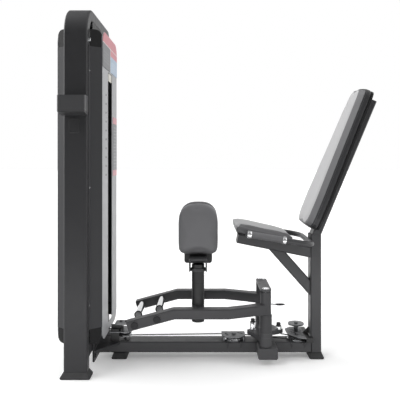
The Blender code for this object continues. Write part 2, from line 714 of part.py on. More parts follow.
def rear_pulley_unit():
    z0 = BEAM_Z[1] + GAP
    low, high = CARRIER_Z
    post = -POST_HALF_X - GAP
    outline = [(-0.016, -0.060), (-0.016, -0.0384), (-0.0285, -0.0384), (-0.0285, 0.112), (-0.100, 0.112),
               (-0.128, 0.084), (-0.128, 0.040), (-0.122, -0.011), (-0.0917, -0.045), (-0.060, -0.060)]
    slots = [bar_slot(-0.104, 0.067, -0.092, 0.067), bar_slot(-0.105, 0.030, -0.091, 0.030),
             bar_slot(-0.066, -0.015, -0.052, -0.015)]
    solids = [slab([outline] + slots, low, high)]
    solids.append(slab(circle(0.0485, 28, REAR_X, 0), z0, z0 + 0.0025))
    solids.append(axle(REAR_X, 0, z0 + 0.0025 - LAP, low + LAP))
    solids.append(hex_bolt(REAR_X, 0, high, 0.0085, 0.0060))
    solids.append(box(-0.048, -0.0162, -0.0598, -0.0386, z0, low + LAP))
    rib = [(post, high - LAP), (-0.055, high - LAP), (post, 0.128)]
    solids.append(slab(rib, -0.003, 0.003, (0, 0.020, 0), X, Z, Y))
    stud = [(0, high - LAP), (0.011, high - LAP), (0.011, 0.1180), (0.0058, 0.1180), (0.0058, 0.1250), (0.009, 0.1250),
            (0.009, 0.1300), (0, 0.1300)]
    solids.append(turned(stud, (UPPER_X, UPPER_Y, 0), Z, 12))
    make("rear_pulley_bracket", solids, "steel")
    make("rear_pulley", turned(wheel(PULLEY_R, PULLEY_W), (REAR_X, 0, CABLE_Z), Z, 24, ring=True), "chrome",
         (REAR_X, 0, CABLE_Z))
    rim = [(0.0064, 0), (0.039, 0), (0.039, 0.0016), (0.0345, 0.003), (0.039, 0.0044), (0.039, 0.006), (0.0064, 0.006)]
    at = (UPPER_X, UPPER_Y, 0.1185)
    make("rear_upper_pulley", turned(rim, at, Z, 24, ring=True), "chrome", at)


def hubs():
    for name, s in (("near", -1), ("far", 1)):
        shaft = cylinder(SHAFT_R, BEAM_Z[1] + GAP, HUB_TOP + 0.004, HUB_X, s * HUB_Y, 24)
        make(name + "_hub_shaft", shaft, "steel")
    z = HUB_TOP + 0.004 + GAP
    outline = round_rect(0.051, 2 * HUB_Y + 0.051, 0.0245, 6, HUB_X, 0)
    make("hub_bridge", slab(outline, z, z + 0.008), "charcoal")


# ---------------------------------------------------------------- swinging arms
def cam(side, a0, a1, pin, tall):
    """Cable cam: a sector with its own sleeve round the hub shaft, and its sprung index pin in a
    housing of the given height."""
    y = side * HUB_Y
    z0, z1 = CAM_Z
    outline = arc(HUB_X, y, CAM_R, a0, a1, 12)
    outline += arc(HUB_X, y, SLEEVE_R + 0.0015, a1 + 50, a0 + 310, 12)
    solids = [slab([outline, circle(BORE_R + 0.0004, 24, HUB_X, y)], z0, z1)]
    solids.append(sleeve(BORE_R, SLEEVE_R, BEAM_Z[1] + 0.001, z0 + LAP, HUB_X, y))
    solids.append(sleeve(BORE_R, SLEEVE_R, z1 - LAP, CAM_TOP, HUB_X, y))
    top = z1 + tall
    solids.append(turned([(0.0044, z1 - LAP), (0.0135, z1 - LAP), (0.0135, top - 0.002), (0.0115, top), (0.0044, top)],
                         (pin[0], pin[1], 0), Z, 20, ring=True))
    name = "near" if side < 0 else "far"
    make(name + "_cam", solids, "charcoal", (HUB_X, y, z0), solver="MANIFOLD")
    r = 0.0098
    cap = tall + GAP
    knob = turned([(0, 0.0004), (0.0038, 0.0004), (0.0038, cap), (r - 0.001, cap), (r, cap + 0.002),
                   (r, cap + 0.011), (r - 0.002, cap + 0.0135), (0, cap + 0.0135)], (pin[0], pin[1], z1), Z, 20)
    make(name + "_index_pin", knob, "plastic", (pin[0], pin[1], z1))


def arm(side):
    """Swinging arm: bent box tube, hub sleeve and pad post welded together, with its foot pegs."""
    name = "near" if side < 0 else "far"
    y = side * ARM_Y
    hub = Vector((HUB_X, side * HUB_Y, ARM_Z))
    turn = Vector((ARM_TURN_X, y, ARM_Z))
    inward = (hub - turn).normalized()
    end = hub - inward * (0.027 + 0.030)
    drop_z = ARM_Z - ARM_DROP
    path = [(ARM_END_X, y, drop_z), (ARM_BEND_X, y, ARM_Z), tuple(turn), tuple(end)]
    solids = [box_tube(path, Y, ARM_W, ARM_H, r=0.005)]
    across = Vector((-inward.y, inward.x, 0))
    saddle = [end - inward * 0.002 + across * (k * 0.0248) for k in (-1, 1)]
    for i in range(9):
        b = 0.0234 * (1 - i / 4)
        saddle.append(hub - inward * math.sqrt(0.0238 ** 2 - b ** 2) + across * b)
    tall = ARM_H / 2 - 0.0002
    solids.append(slab([(p.x, p.y) for p in saddle], ARM_Z - tall, ARM_Z + tall))
    low = CAM_TOP + GAP
    solids.append(turned([(BORE_R, low), (0.0282, low), (0.0282, 0.2195), (0.0247, 0.2200), (0.0247, HUB_TOP),
                          (BORE_R, HUB_TOP)], (hub.x, hub.y, 0), Z, 24, ring=True))
    solids.append(sleeve(0.0235, POST_R, *POST_Z, PAD_X, side * PAD_Y))
    for x in PEG_X if side < 0 else ():
        prof = [(0, -LAP), (0.0165, -LAP), (0.0165, 0.0026), (0, 0.0026)]
        solids.append(turned(prof, (x + 0.0025, y - ARM_W / 2, peg_z(x)), -Y, 20))
    make(name + "_arm", solids, "charcoal", tuple(hub))


def peg_z(x):
    return ARM_Z - ARM_DROP * (ARM_BEND_X - x) / (ARM_BEND_X - ARM_END_X)


def foot_pegs():
    y = ARM_Y - ARM_W / 2 - GAP
    length = y - PEG_TIP_Y
    r = PEG_R
    prof = [(0, 0), (r, 0), (r, length - 0.0015), (r - 0.0015, length), (0, length)]
    for name, x in zip(("front", "rear"), PEG_X):
        at = (x, y, peg_z(x))
        make(name + "_foot_peg", turned(prof, at, -Y, 24), "chrome", at)


def lever(side):
    """Small release lever at the hub: a flat bar with a dipped end."""
    z = 0.2090 if side > 0 else 0.1900
    y = side * HUB_Y
    name = "near" if side < 0 else "far"
    if side > 0:
        axis = X
        across = Y
    else:
        axis = Y
        across = X
    r0 = 0.0278
    o = Vector((HUB_X, y, z))
    up = Z
    bar = slab(rect(r0 + 0.0025, r0 + 0.071, -0.006, 0.006), 0, 0.005, o, axis, across, up)
    grip = slab(round_rect(0.026, 0.018, 0.005, 3, r0 + 0.0765, 0), -0.002, 0.008, o, axis, across, up)
    make(name + "_release_lever", [bar, grip], "plastic", tuple(o + axis * (r0 + 0.002)))


def cushion_outline(inset):
    """Knee cushion seen square on: wide round top corners, smaller ones below."""
    x0, x1 = PAD_X - CUSHION_HALF + inset, PAD_X + CUSHION_HALF - inset
    z0, z1 = CUSHION_Z[0] + inset, CUSHION_Z[1] - inset
    low, high = 0.030 - inset * 0.6, 0.068 - inset * 0.6
    return (arc(x1 - high, z1 - high, high, 0, 90, 7) + arc(x0 + high, z1 - high, high, 90, 180, 7)
            + arc(x0 + low, z0 + low, low, 180, 270, 4) + arc(x1 - low, z0 + low, low, 270, 360, 4))


def knee_pad(side):
    """Yoke that swivels on the pad post, and the cushion on its upright plate."""
    name = "near" if side < 0 else "far"
    y = side * PAD_Y
    o = (PAD_X, y, POST_Z[1])
    solids = []
    inner = sorted((side * (WEB_Y[1] - LAP), y + side * 0.025))
    solids.append(slab(round_rect(0.081, inner[1] - inner[0], 0.006, 2, PAD_X, sum(inner) / 2), 0.469, 0.477))
    for k in (-1, 1):
        x0, x1 = sorted((PAD_X + k * 0.0335, PAD_X + k * 0.0402))
        solids.append(box(x0, x1, y - 0.0245, y + 0.0245, 0.4220, 0.4690 + LAP))
    solids.append(sleeve(0.0292, 0.0342, 0.4225, 0.4345, PAD_X, y))
    web = sorted((side * WEB_Y[0], side * WEB_Y[1]))
    solids.append(slab(round_rect(0.129, 0.220, 0.012, 3, PAD_X, 0.550), web[0], web[1], (0, 0, 0), X, Z, Y))
    make(name + "_pad_yoke", solids, "charcoal", o)
    rings = []
    depth = CUSHION_Y[1] - CUSHION_Y[0]
    for k, inset in ((0, 0.003), (0.004, 0.0), (depth - 0.016, 0.0), (depth - 0.007, 0.003), (depth - 0.002, 0.009),
                     (depth, 0.017)):
        rings.append([(a, side * (CUSHION_Y[0] + k), b) for a, b in cushion_outline(inset)])
    make(name + "_knee_pad", loft(rings), "vinyl", o)


# ---------------------------------------------------------------- seat
def rail_low(x):
    return RAIL_Z0 - 0.1995 * (x - RAIL_X[0])


def seat_frame():
    path = [(0, 0, BEAM_FOOT_H + GAP), (0, 0, SEAT_POST_TOP)]
    make("seat_post", box_tube(path, Y, 2 * POST_HALF_Y, 2 * POST_HALF_X), "charcoal")
    d = Vector((math.sin(LEAN), 0, math.cos(LEAN)))
    low = Vector((POST_HALF_X - LEAN_T / 2 / math.cos(LEAN), 0, SEAT_POST_TOP + GAP))
    path = [tuple(low), tuple(low + d * ((LEAN_TOP - low.z) / d.z))]
    make("back_tube", box_tube(path, Y, 2 * POST_HALF_Y, LEAN_T, first_cut=Z), "charcoal")
    tall = 0.025 / math.cos(SEAT_TILT)
    path = [(x, 0, rail_low(x) + tall) for x in RAIL_X]
    make("seat_rail", box_tube(path, Y, 2 * POST_HALF_Y, 0.050, last_cut=X), "charcoal")
    slope = Vector((-0.664, 0, 0.748)).normalized()
    start = Vector((-POST_HALF_X - GAP, 0, 0.3224))
    t = 0.0
    for _ in range(40):
        p = start + slope * t
        t += (rail_low(p.x) - 2 * GAP - p.z) / 0.95
    normal = (math.sin(SEAT_TILT), 0, math.cos(SEAT_TILT))
    path = [tuple(start), tuple(start + slope * t)]
    make("seat_brace", box_tube(path, Y, 0.050, 0.050, first_cut=X, last_cut=normal), "charcoal")


def seat_frame_axes():
    """Origin at the front of the rail top, along the seat and square to it."""
    along = Vector((math.cos(SEAT_TILT), 0, -math.sin(SEAT_TILT)))
    up = Vector((math.sin(SEAT_TILT), 0, math.cos(SEAT_TILT)))
    base = Vector((RAIL_X[0], 0, rail_low(RAIL_X[0]))) + up * (0.050 + GAP)
    start = base + along * ((SEAT_X[0] - base.x) / along.x)
    length = (SEAT_X[1] - SEAT_X[0]) / along.x
    return start, along, up, length


def seat_outline(length, inset):
    """Seat seen from above: rounded front corners, sides drawn in towards a straight rear edge."""
    h = SEAT_HALF - inset
    half = [(inset, 0)]
    half += [(inset + 0.030 - 0.030 * math.cos(a), h - 0.034 + 0.034 * math.sin(a))
             for a in [math.pi / 2 * i / 6 for i in range(7)]]
    half += [(length * 0.50, h), (length * 0.74, h - 0.012), (length - inset - 0.022, h - 0.031)]
    half += [(length - inset - 0.008, h - 0.035), (length - inset, h - 0.044), (length - inset, 0)]
    out = half + [(s, -y) for s, y in half[-2:0:-1]]
    return out


def seat():
    o, along, up, length = seat_frame_axes()
    board_front = 0.022
    outline = [(board_front + (a - 0.006) * (length - 0.006 - board_front) / (length - 0.012), b)
               for a, b in seat_outline(length, 0.006)]
    board = slab(outline, 0, SEAT_BOARD_T, o, along, Y, up)
    make("seat_board", [board], "black")
    rings = []
    for h, inset in ((GAP, 0.003), (0.004, 0.0), (SEAT_PAD_T - 0.012, 0.0), (SEAT_PAD_T - 0.005, 0.003),
                     (SEAT_PAD_T - 0.0015, 0.008), (SEAT_PAD_T, 0.015)):
        nose = 0.008 * h / SEAT_PAD_T
        rings.append([o + along * a + Y * b + up * (SEAT_BOARD_T + h + nose * max(0, 1 - a / 0.16) ** 2)
                      for a, b in seat_outline(length, inset)])
    make("seat_pad", [loft(rings)], "vinyl")


def back_axes():
    d = Vector((math.sin(LEAN), 0, math.cos(LEAN)))
    fwd = Vector((-math.cos(LEAN), 0, math.sin(LEAN)))
    low = Vector((POST_HALF_X - LEAN_T / math.cos(LEAN), 0, SEAT_POST_TOP))
    return low + fwd * GAP, d, fwd


def back_outline(side_inset, end_inset):
    """Back pad seen square on: wide at the bottom, tapering to the top."""
    s0, s1 = BACK_S
    s0 += end_inset
    s1 -= end_inset
    wide = 0.150 - side_inset
    top = 0.104 - side_inset
    half = [(s0, 0), (s0, wide - 0.050), (s0 + 0.006, wide - 0.028), (s0 + 0.022, wide - 0.008),
            (s0 + 0.050, wide), (s0 + 0.140, wide - 0.001)]
    for i in range(1, 5):
        f = i / 5
        half.append((s0 + 0.140 + (s1 - 0.170 - s0) * f, wide - 0.001 - (wide - 0.001 - top) * f ** 0.9))
    half += [(s1 - 0.030, top), (s1 - 0.010, top - 0.009), (s1, top - 0.028), (s1, 0)]
    return half + [(s, -y) for s, y in half[-2:0:-1]]


def back_rest():
    o, d, fwd = back_axes()
    board = slab(back_outline(0.004, 0.004), 0, BACK_BOARD_T, o, d, Y, fwd)
    make("back_board", [board], "black")
    rings = []
    t = BACK_PAD_T
    for h, side_inset, end_inset in ((GAP, 0.003, 0.003), (0.004, 0, 0), (0.027, 0, 0), (0.031, 0.002, 0.001),
                                     (t - 0.004, 0.027, 0.006), (t, 0.033, 0.011)):
        rings.append([o + d * a + Y * b + fwd * (BACK_BOARD_T + h) for a, b in back_outline(side_inset, end_inset)])
    make("back_pad", [loft(rings)], "vinyl")


def handle_z(x):
    return HANDLE_FRONT[1] - HANDLE_SLOPE * (x - HANDLE_FRONT[0])


def handles():
    """One bar bent round behind the seat, with chrome collars, and a grip at each end."""
    r = 0.050
    bend_x = HANDLE_CROSS_X - r
    half = [(HANDLE_FRONT[0], HANDLE_Y)] + arc(bend_x, HANDLE_Y - r, r, 90, 0, 5)
    line = half + [(x, -y) for x, y in half[::-1]]
    path = [(x, y, handle_z(x)) for x, y in line]
    normal = Vector((HANDLE_SLOPE, 0, 1)).normalized()
    solids = [tube(path, normal, circle(HANDLE_R, 14), circle(HANDLE_R - 0.002, 14))]
    along = Vector((1, 0, -HANDLE_SLOPE)).normalized()
    for name, s in (("near", -1), ("far", 1)):
        first, last, ring = [Vector((x, s * HANDLE_Y, handle_z(x))) for x in (-0.3085, -0.172, -0.328)]
        length = (last - first).length
        b = HANDLE_R + GAP
        prof = [(b, 0), (0.0148, 0), (0.0148, length), (b, length)]
        make(name + "_handle_grip", turned(prof, first, along, 18, ring=True), "rubber", first)
        b = HANDLE_R - 2 * LAP
        for at, wide in ((ring, 0.0175), (last + along * 0.0006, 0.0140)):
            prof = [(b, 0), (0.0156, 0), (0.0156, wide), (b, wide)]
            solids.append(turned(prof, at, along, 14, ring=True))
    make("handle_bar", solids, "charcoal")


# ---------------------------------------------------------------- cables
def cable_tube(name, points, origin=None):
    """Round cable swept along a chain of points."""
    pts = [Vector(p) for p in points]
    side = Y if abs((pts[1] - pts[0]).normalized().dot(Y)) < 0.9 else X
    make(name, [tube(pts, side, circle(CABLE_R, 8))], "rope", origin or (0, 0, 0), 60)


def cables(lug_top):
    dx = DROP[0] - TOWER_X
    dy = DROP[1]
    reach = math.hypot(dx, dy) / 2
    ux, uy = dx / (2 * reach), dy / (2 * reach)
    cx, cy = TOWER_X + dx / 2, dy / 2
    over = []
    for a, h in arc(0, TOP_PULLEY_Z, reach + 0.0012, 180, 0, 12):
        over.append((cx + ux * a, cy + uy * a, h))
    cable_tube("stack_cable", [(over[0][0], over[0][1], lug_top), (over[0][0], over[0][1], TOP_PULLEY_Z - 0.005)])
    x = DROP[0] + 0.0275
    turn = [(px, DROP[1], pz) for px, pz in arc(x, BOTTOM_Z, BOTTOM_Z - LOW_CABLE_Z, 180, 270, 6)]
    path = list(over)
    path[0] = (over[0][0], over[0][1], TOP_PULLEY_Z - 0.004)
    path += turn + [(-0.972, DROP[1], LOW_CABLE_Z)]
    (x0, x1), (z0, z1) = GUIDE_X, guide_heights()
    reach = GUIDE_R + CABLE_R + 0.0006
    fall = math.atan2(z0 - z1, x1 - x0) + math.asin(2 * reach / math.hypot(x1 - x0, z0 - z1))
    fall = math.degrees(fall)
    path += [(px, DROP[1], pz) for px, pz in arc(x0, z0, reach, 90, 90 - fall, 4)]
    path += [(px, DROP[1], pz) for px, pz in arc(x1, z1, reach, 270 - fall, 270, 4)]
    small, big = FRONT_R - IN_GROOVE, PULLEY_R - IN_GROOVE
    lead = math.degrees(math.asin((small + big) / (MID_X - FRONT_X)))
    cross = math.degrees(math.asin(2 * big / (REAR_X - MID_X)))
    path += [(px, py, FRONT_Z) for px, py in arc(FRONT_X, 0, small, -90, -90 + lead, 2)]
    path += [(px, py, CABLE_Z) for px, py in arc(MID_X, 0, big, 90 + lead, 90 - cross, 4)]
    end = Vector((HUB_X, HUB_Y)) + 0.120 * Vector((math.cos(math.radians(-46)), math.sin(math.radians(-46))))
    away = Vector((end.x - REAR_X, end.y))
    leave = math.degrees(math.atan2(away.y, away.x) - math.acos(big / away.length))
    path += [(px, py, CABLE_Z) for px, py in arc(REAR_X, 0, big, -90 - cross, leave, 18)]
    last = Vector(path[-1])
    knee = last.lerp(Vector((end.x, end.y, CABLE_Z)), (last.x + 0.1275) / (last.x - end.x))
    path += [tuple(knee), (end.x, end.y, 0.0965)]
    cable_tube("drive_cable", path)


def build():
    for obj in list(bpy.data.objects):
        bpy.data.objects.remove(obj, do_unlink=True)
    tower_arch()
    tower_cross_beam()
    rubber_feet()
    covers()
    labels()
    tray()
    rods()
    lug_top = stack()
    tower_pulleys()
    flange()
    floor_beam()
    front_pulley_unit()
    mid_pulley_unit()
    rear_pulley_unit()
    hubs()
    hub_nuts()
    cam(-1, 99, 127, (-0.290, 0.000), 0.038)
    cam(1, -74, -42, (-0.168, 0.010), 0.017)
    for side in (-1, 1):
        arm(side)
        lever(side)
        knee_pad(side)
    foot_pegs()
    seat_frame()
    seat()
    back_rest()
    handles()
    cables(lug_top)


build()
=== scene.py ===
import math

import bmesh
import bpy
import numpy as np
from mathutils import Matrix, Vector
from mathutils.bvhtree import BVHTree
from mathutils.kdtree import KDTree


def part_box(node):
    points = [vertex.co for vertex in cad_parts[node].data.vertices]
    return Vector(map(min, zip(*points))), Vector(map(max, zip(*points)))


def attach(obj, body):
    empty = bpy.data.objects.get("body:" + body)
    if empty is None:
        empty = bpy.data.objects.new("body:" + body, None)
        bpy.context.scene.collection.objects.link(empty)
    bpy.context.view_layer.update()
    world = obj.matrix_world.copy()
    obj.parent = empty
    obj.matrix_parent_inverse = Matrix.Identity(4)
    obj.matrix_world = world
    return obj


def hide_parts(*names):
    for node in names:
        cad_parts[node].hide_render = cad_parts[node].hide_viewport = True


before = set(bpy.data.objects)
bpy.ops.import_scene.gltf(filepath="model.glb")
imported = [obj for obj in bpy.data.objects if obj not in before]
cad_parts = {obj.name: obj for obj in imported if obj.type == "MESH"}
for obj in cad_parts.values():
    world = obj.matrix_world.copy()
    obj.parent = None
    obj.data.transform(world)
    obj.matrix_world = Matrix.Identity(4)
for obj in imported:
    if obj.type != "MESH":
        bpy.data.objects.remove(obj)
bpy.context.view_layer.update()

X, Y, Z = Vector((1, 0, 0)), Vector((0, 1, 0)), Vector((0, 0, 1))
SIDES = (("near", -1), ("far", 1))


# ---------------------------------------------------------------- camera
# Looks square on at the near side from 2.6 m, a little above the seat, through a 50 mm lens.
# The lens is shifted so that the whole machine stays in view without tilting the camera.
def stand(name, data, location=(0, 0, 0), rotation=(0, 0, 0)):
    """A new object in the scene."""
    made = bpy.data.objects.new(name, data)
    made.location, made.rotation_euler = location, rotation
    bpy.context.scene.collection.objects.link(made)
    return made


lens = bpy.data.cameras.new("camera")
lens.lens, lens.sensor_width = 50, 36
lens.shift_x, lens.shift_y = -0.00875, -0.11375
bpy.context.scene.camera = stand("camera", lens, (-0.5225, -2.616, 0.944), (math.pi / 2, 0, 0))


# ---------------------------------------------------------------- tower frame
# The weight tower is a bent 100 x 50 mm steel tube with a cross beam low down, powder coated in
# charcoal.  Powder coat is a baked polyester: a soft sheen with fine orange peel.
def linear(hex_colour):
    """sRGB hex colour as the linear colour a shader socket takes."""
    channels = [int(hex_colour[k:k + 2], 16) / 255 for k in (1, 3, 5)]
    return [c / 12.92 if c <= 0.04045 else ((c + 0.055) / 1.055) ** 2.4 for c in channels] + [1.0]


def finish(name, colour, **sockets):
    """New material with its plain values set on the shader's own sockets."""
    material = bpy.data.materials.new(name)
    material.use_nodes = True
    shader = material.node_tree.nodes["Principled BSDF"]
    shader.inputs["Base Color"].default_value = linear(colour)
    for socket, value in sockets.items():
        shader.inputs[socket.replace("_", " ")].default_value = value
    return material


def add(owner, kind, inputs, **settings):
    """Adds one node; an input is a plain value or the output it is linked from."""
    made = owner.node_tree.nodes.new(kind)
    for setting, value in settings.items():
        setattr(made, setting, value)
    for socket, value in inputs.items():
        if isinstance(value, bpy.types.NodeSocket):
            owner.node_tree.links.new(value, made.inputs[socket])
        else:
            made.inputs[socket].default_value = value
    return made


def link(material, output, socket):
    """Leads an output to the material's shader."""
    shader = material.node_tree.nodes["Principled BSDF"]
    material.node_tree.links.new(output, shader.inputs[socket])


def place(owner, output="Object"):
    """The point being shaded, in metres in the machine's own frame."""
    return add(owner, "ShaderNodeTexCoord", {}).outputs[output]


def noise(owner, size, detail, roughness=0.5):
    """Cloudy noise with features of a real size."""
    inputs = {"Vector": place(owner), "Scale": 1 / size, "Detail": detail, "Roughness": roughness}
    return add(owner, "ShaderNodeTexNoise", inputs).outputs["Fac"]


def blend(owner, share, under, over):
    """Mix of two colours, each a hex colour or the output of another mix."""
    under, over = (linear(c) if isinstance(c, str) else c for c in (under, over))
    return add(owner, "ShaderNodeMix", {0: share, 6: under, 7: over}, data_type="RGBA").outputs[2]


def spread(owner, value, to_low, to_high, low=0.0, high=1.0):
    """A value stretched from one range to another."""
    inputs = {"Value": value, "From Min": low, "From Max": high,
              "To Min": to_low, "To Max": to_high}
    return add(owner, "ShaderNodeMapRange", inputs).outputs["Result"]


def relief(material, height, strength, distance):
    """Fine surface relief."""
    inputs = {"Height": height, "Strength": strength, "Distance": distance}
    link(material, add(material, "ShaderNodeBump", inputs).outputs["Normal"], "Normal")


CLOUD, RUB, PEEL = 0.12, 0.022, 0.003  # how far across, in metres


def powder_coat(name, dark, light, roughness, specular):
    """Baked powder coat: cloudy tone a hand wide, orange peel drawn 3 mm wide so that it shows,
    and dust and rubbed spots that change the sheen."""
    material = finish(name, dark, Roughness=roughness, Specular_IOR_Level=specular)
    link(material, blend(material, noise(material, CLOUD, 4), dark, light), "Base Color")
    rubbed = noise(material, RUB, 5, 0.65)
    link(material, spread(material, rubbed, roughness - 0.05, roughness + 0.06, 0.35, 0.65),
         "Roughness")
    relief(material, noise(material, PEEL, 2), 0.10, 0.0006)
    return material


REAL_EDGE = 38  # degrees
# How much is broken off the edges of each kind of part.
TUBE_EDGE, CAST_EDGE, CUT_EDGE, PLATE_EDGE, SHEET_EDGE = 0.0012, 0.0010, 0.0008, 0.0006, 0.0005
GRIP_EDGE = 0.0020
FLAT_ANGLE, WELD_GAP = math.radians(0.4), 0.00002


def smoothing():
    """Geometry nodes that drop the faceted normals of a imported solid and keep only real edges
    sharp."""
    group = bpy.data.node_groups.new("keep_real_edges", "GeometryNodeTree")
    for direction in ("INPUT", "OUTPUT"):
        group.interface.new_socket("Solid", in_out=direction, socket_type="NodeSocketGeometry")
    start, end, angle, limit, normal = (group.nodes.new(kind) for kind in (
        "NodeGroupInput", "NodeGroupOutput", "GeometryNodeInputMeshEdgeAngle",
        "FunctionNodeCompare", "GeometryNodeSetMeshNormal"))
    limit.operation = "GREATER_THAN"
    limit.inputs[1].default_value = math.radians(REAL_EDGE)
    normal.mode = "SHARPNESS"
    normal.inputs["Remove Custom"].default_value = True
    group.links.new(start.outputs[0], normal.inputs["Mesh"])
    group.links.new(angle.outputs["Unsigned Angle"], limit.inputs[0])
    group.links.new(limit.outputs[0], normal.inputs["Edge Sharpness"])
    group.links.new(normal.outputs["Mesh"], end.inputs[0])
    return group


real_edges = smoothing()


def dress(node, material, edge, segments=2):
    """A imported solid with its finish, its flat faces joined up and its edges broken as in the
    shop."""
    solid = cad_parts[node]
    for slot in solid.material_slots:
        slot.material = material
    solid.modifiers.new("weld", "WELD").merge_threshold = WELD_GAP
    flat = solid.modifiers.new("flat_faces", "DECIMATE")
    flat.decimate_type = "DISSOLVE"
    flat.angle_limit = FLAT_ANGLE
    if edge:
        broken = solid.modifiers.new("broken_edges", "BEVEL")
        broken.width = edge
        broken.segments = segments
        broken.limit_method = "ANGLE"
        broken.angle_limit = math.radians(REAL_EDGE)
        broken.use_clamp_overlap = True
    solid.modifiers.new("real_edges", "NODES").node_group = real_edges
    solid.modifiers.new("even_shading", "WEIGHTED_NORMAL").keep_sharp = True


def dress_all(nodes, material, edge):
    """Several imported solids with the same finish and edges."""
    for node in nodes:
        dress(node, material, edge)


tower_coat = powder_coat("powder_coated_steel_tower", "#303032", "#353537", 0.42, 0.30)
dress_all(("tower_arch", "tower_cross_beam", "tower_flange"), tower_coat, TUBE_EDGE)


# ---------------------------------------------------------------- tower bolts
# Bright bolts hold the tower arch to the covers' frame: socket cap screws on round washers.
# Chrome is a hard mirror plate, only slightly dulled by fine scratches.
def closed_mesh(name, points, faces, triangles=False):
    """A mesh with its normals facing out."""
    mesh = bpy.data.meshes.new(name)
    mesh.from_pydata([tuple(p) for p in points], [], faces)
    work = bmesh.new()
    work.from_mesh(mesh)
    bmesh.ops.recalc_face_normals(work, faces=work.faces)
    if triangles:
        bmesh.ops.triangulate(work, faces=work.faces)
    work.to_mesh(mesh)
    work.free()
    return mesh


def piece(name, points, faces, material, body, sharp=REAL_EDGE):
    """A new piece in the machine's own frame, riding on a body."""
    mesh = closed_mesh(name, points, faces)
    mesh.shade_smooth()
    mesh.set_sharp_from_angle(angle=math.radians(sharp))
    mesh.materials.append(material)
    made = stand(name, mesh)
    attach(made, body)
    return made


def skin(rings, closed=False):
    """Points and faces through rings of equal length, capped unless closed into a loop."""
    count = len(rings[0])
    points = [p for ring in rings for p in ring]
    faces = []
    for k in range(len(rings) if closed else len(rings) - 1):
        a, b = k * count, (k + 1) % len(rings) * count
        faces += [(a + i, a + (i + 1) % count, b + (i + 1) % count, b + i) for i in range(count)]
    if not closed:
        faces += [tuple(range(count)), tuple(range(len(points) - count, len(points)))]
    return points, faces


def circle(centre, side, other, radius, height, count):
    """Points of an ellipse about a centre."""
    return [centre + side * radius * math.cos(math.tau * i / count)
            + other * height * math.sin(math.tau * i / count) for i in range(count)]


def turned(profile, origin, axis, segments=32, closed=False):
    """A turned piece from (radius, height) pairs."""
    axis = axis.normalized()
    side = axis.orthogonal().normalized()
    return skin([circle(Vector(origin) + axis * height, side, axis.cross(side), radius, radius,
                        segments) for radius, height in profile], closed)


def joined(parts):
    """Several loose shapes as the points and faces of one piece."""
    points, faces = [], []
    for some_points, some_faces in parts:
        start = len(points)
        points += list(some_points)
        faces += [tuple(start + i for i in face) for face in some_faces]
    return points, faces


def bright_metal(name, colour, roughness, grain=0.006):
    """Plated or polished metal: fine scratches and finger marks break up the reflection."""
    material = finish(name, colour, Metallic=1.0, Roughness=roughness)
    smear = noise(material, grain, 6, 0.7)
    link(material, spread(material, smear, roughness * 0.7, roughness * 1.5, 0.3, 0.7), "Roughness")
    relief(material, smear, 0.04, 0.0003)
    return material


def cells(owner, size):
    """Distance to the nearest of scattered points a real size apart."""
    inputs = {"Vector": place(owner), "Scale": 1 / size}
    return add(owner, "ShaderNodeTexVoronoi", inputs).outputs["Distance"]


SPARK, HAZE = 0.002, 0.03


def moulded_plastic(name, colour, roughness, specular=0.4):
    """Injection-moulded ABS: fine spark-eroded texture, drawn 2 mm wide so that it shows."""
    material = finish(name, colour, Roughness=roughness, Specular_IOR_Level=specular)
    relief(material, cells(material, SPARK), 0.06, 0.0003)
    haze = noise(material, HAZE, 4)
    link(material, spread(material, haze, roughness - 0.06, roughness + 0.06), "Roughness")
    return material


chrome = bright_metal("chrome_plate", "#D9DADB", 0.10)
zinc = bright_metal("zinc_plated_steel", "#B4B5B7", 0.26)
black_plastic = moulded_plastic("moulded_abs_black", "#2B2B2D", 0.38)
WASHER_AND_HEAD = [(0.0120, 0.0), (0.0120, 0.0014), (0.0086, 0.0016), (0.0086, 0.0072),
                   (0.0078, 0.0080), (0.0052, 0.0080), (0.0050, 0.0040)]
SOCKET_SHADE_HEX = [(0.0048, 0.0041), (0.0048, 0.0066), (0.0020, 0.0058)]
BOLT_X, BOLT_Y, BOLT_Z = -1.0119, 0.2430, 1.4340
bolts = [(BOLT_X, side * BOLT_Y, BOLT_Z) for side in (-1, 1)]
piece("tower_front_bolts", *joined([turned(WASHER_AND_HEAD, at, X) for at in bolts]), chrome,
      "frame", sharp=30)
# The hex sockets are drawn as black solids sunk in the heads: painted shade in the recesses.
piece("tower_bolt_socket_shade", *joined([turned(SOCKET_SHADE_HEX, at, X, 6) for at in bolts]), black_plastic,
      "frame", sharp=30)


# ---------------------------------------------------------------- badge
# A thin moulded black badge with nothing on it marks the place of a name plate on the near
# upright.
def rounded(width, height, radius, steps=5):
    """Outline of a rounded rectangle about the origin."""
    loop = []
    for cx, cy, start in ((1, 1, 0), (-1, 1, 90), (-1, -1, 180), (1, -1, 270)):
        for i in range(steps + 1):
            turn = math.radians(start + 90 * i / steps)
            loop.append((cx * (width / 2 - radius) + radius * math.cos(turn),
                         cy * (height / 2 - radius) + radius * math.sin(turn)))
    return loop


BADGE_X, BADGE_Y, BADGE_Z = -1.0655, -0.2802, 1.0665
BADGE_SIZE = (0.046, 0.066, 0.010)
BADGE_STEPS = ((1.0, 0.0), (1.0, 0.0012), (0.95, 0.0020), (0.82, 0.0018), (0.80, 0.0012))
badge = [[Vector((BADGE_X + a * k, BADGE_Y - raised, BADGE_Z + b * k))
          for a, b in rounded(*BADGE_SIZE)] for k, raised in BADGE_STEPS]
piece("blank_badge", *skin(badge), black_plastic, "frame")

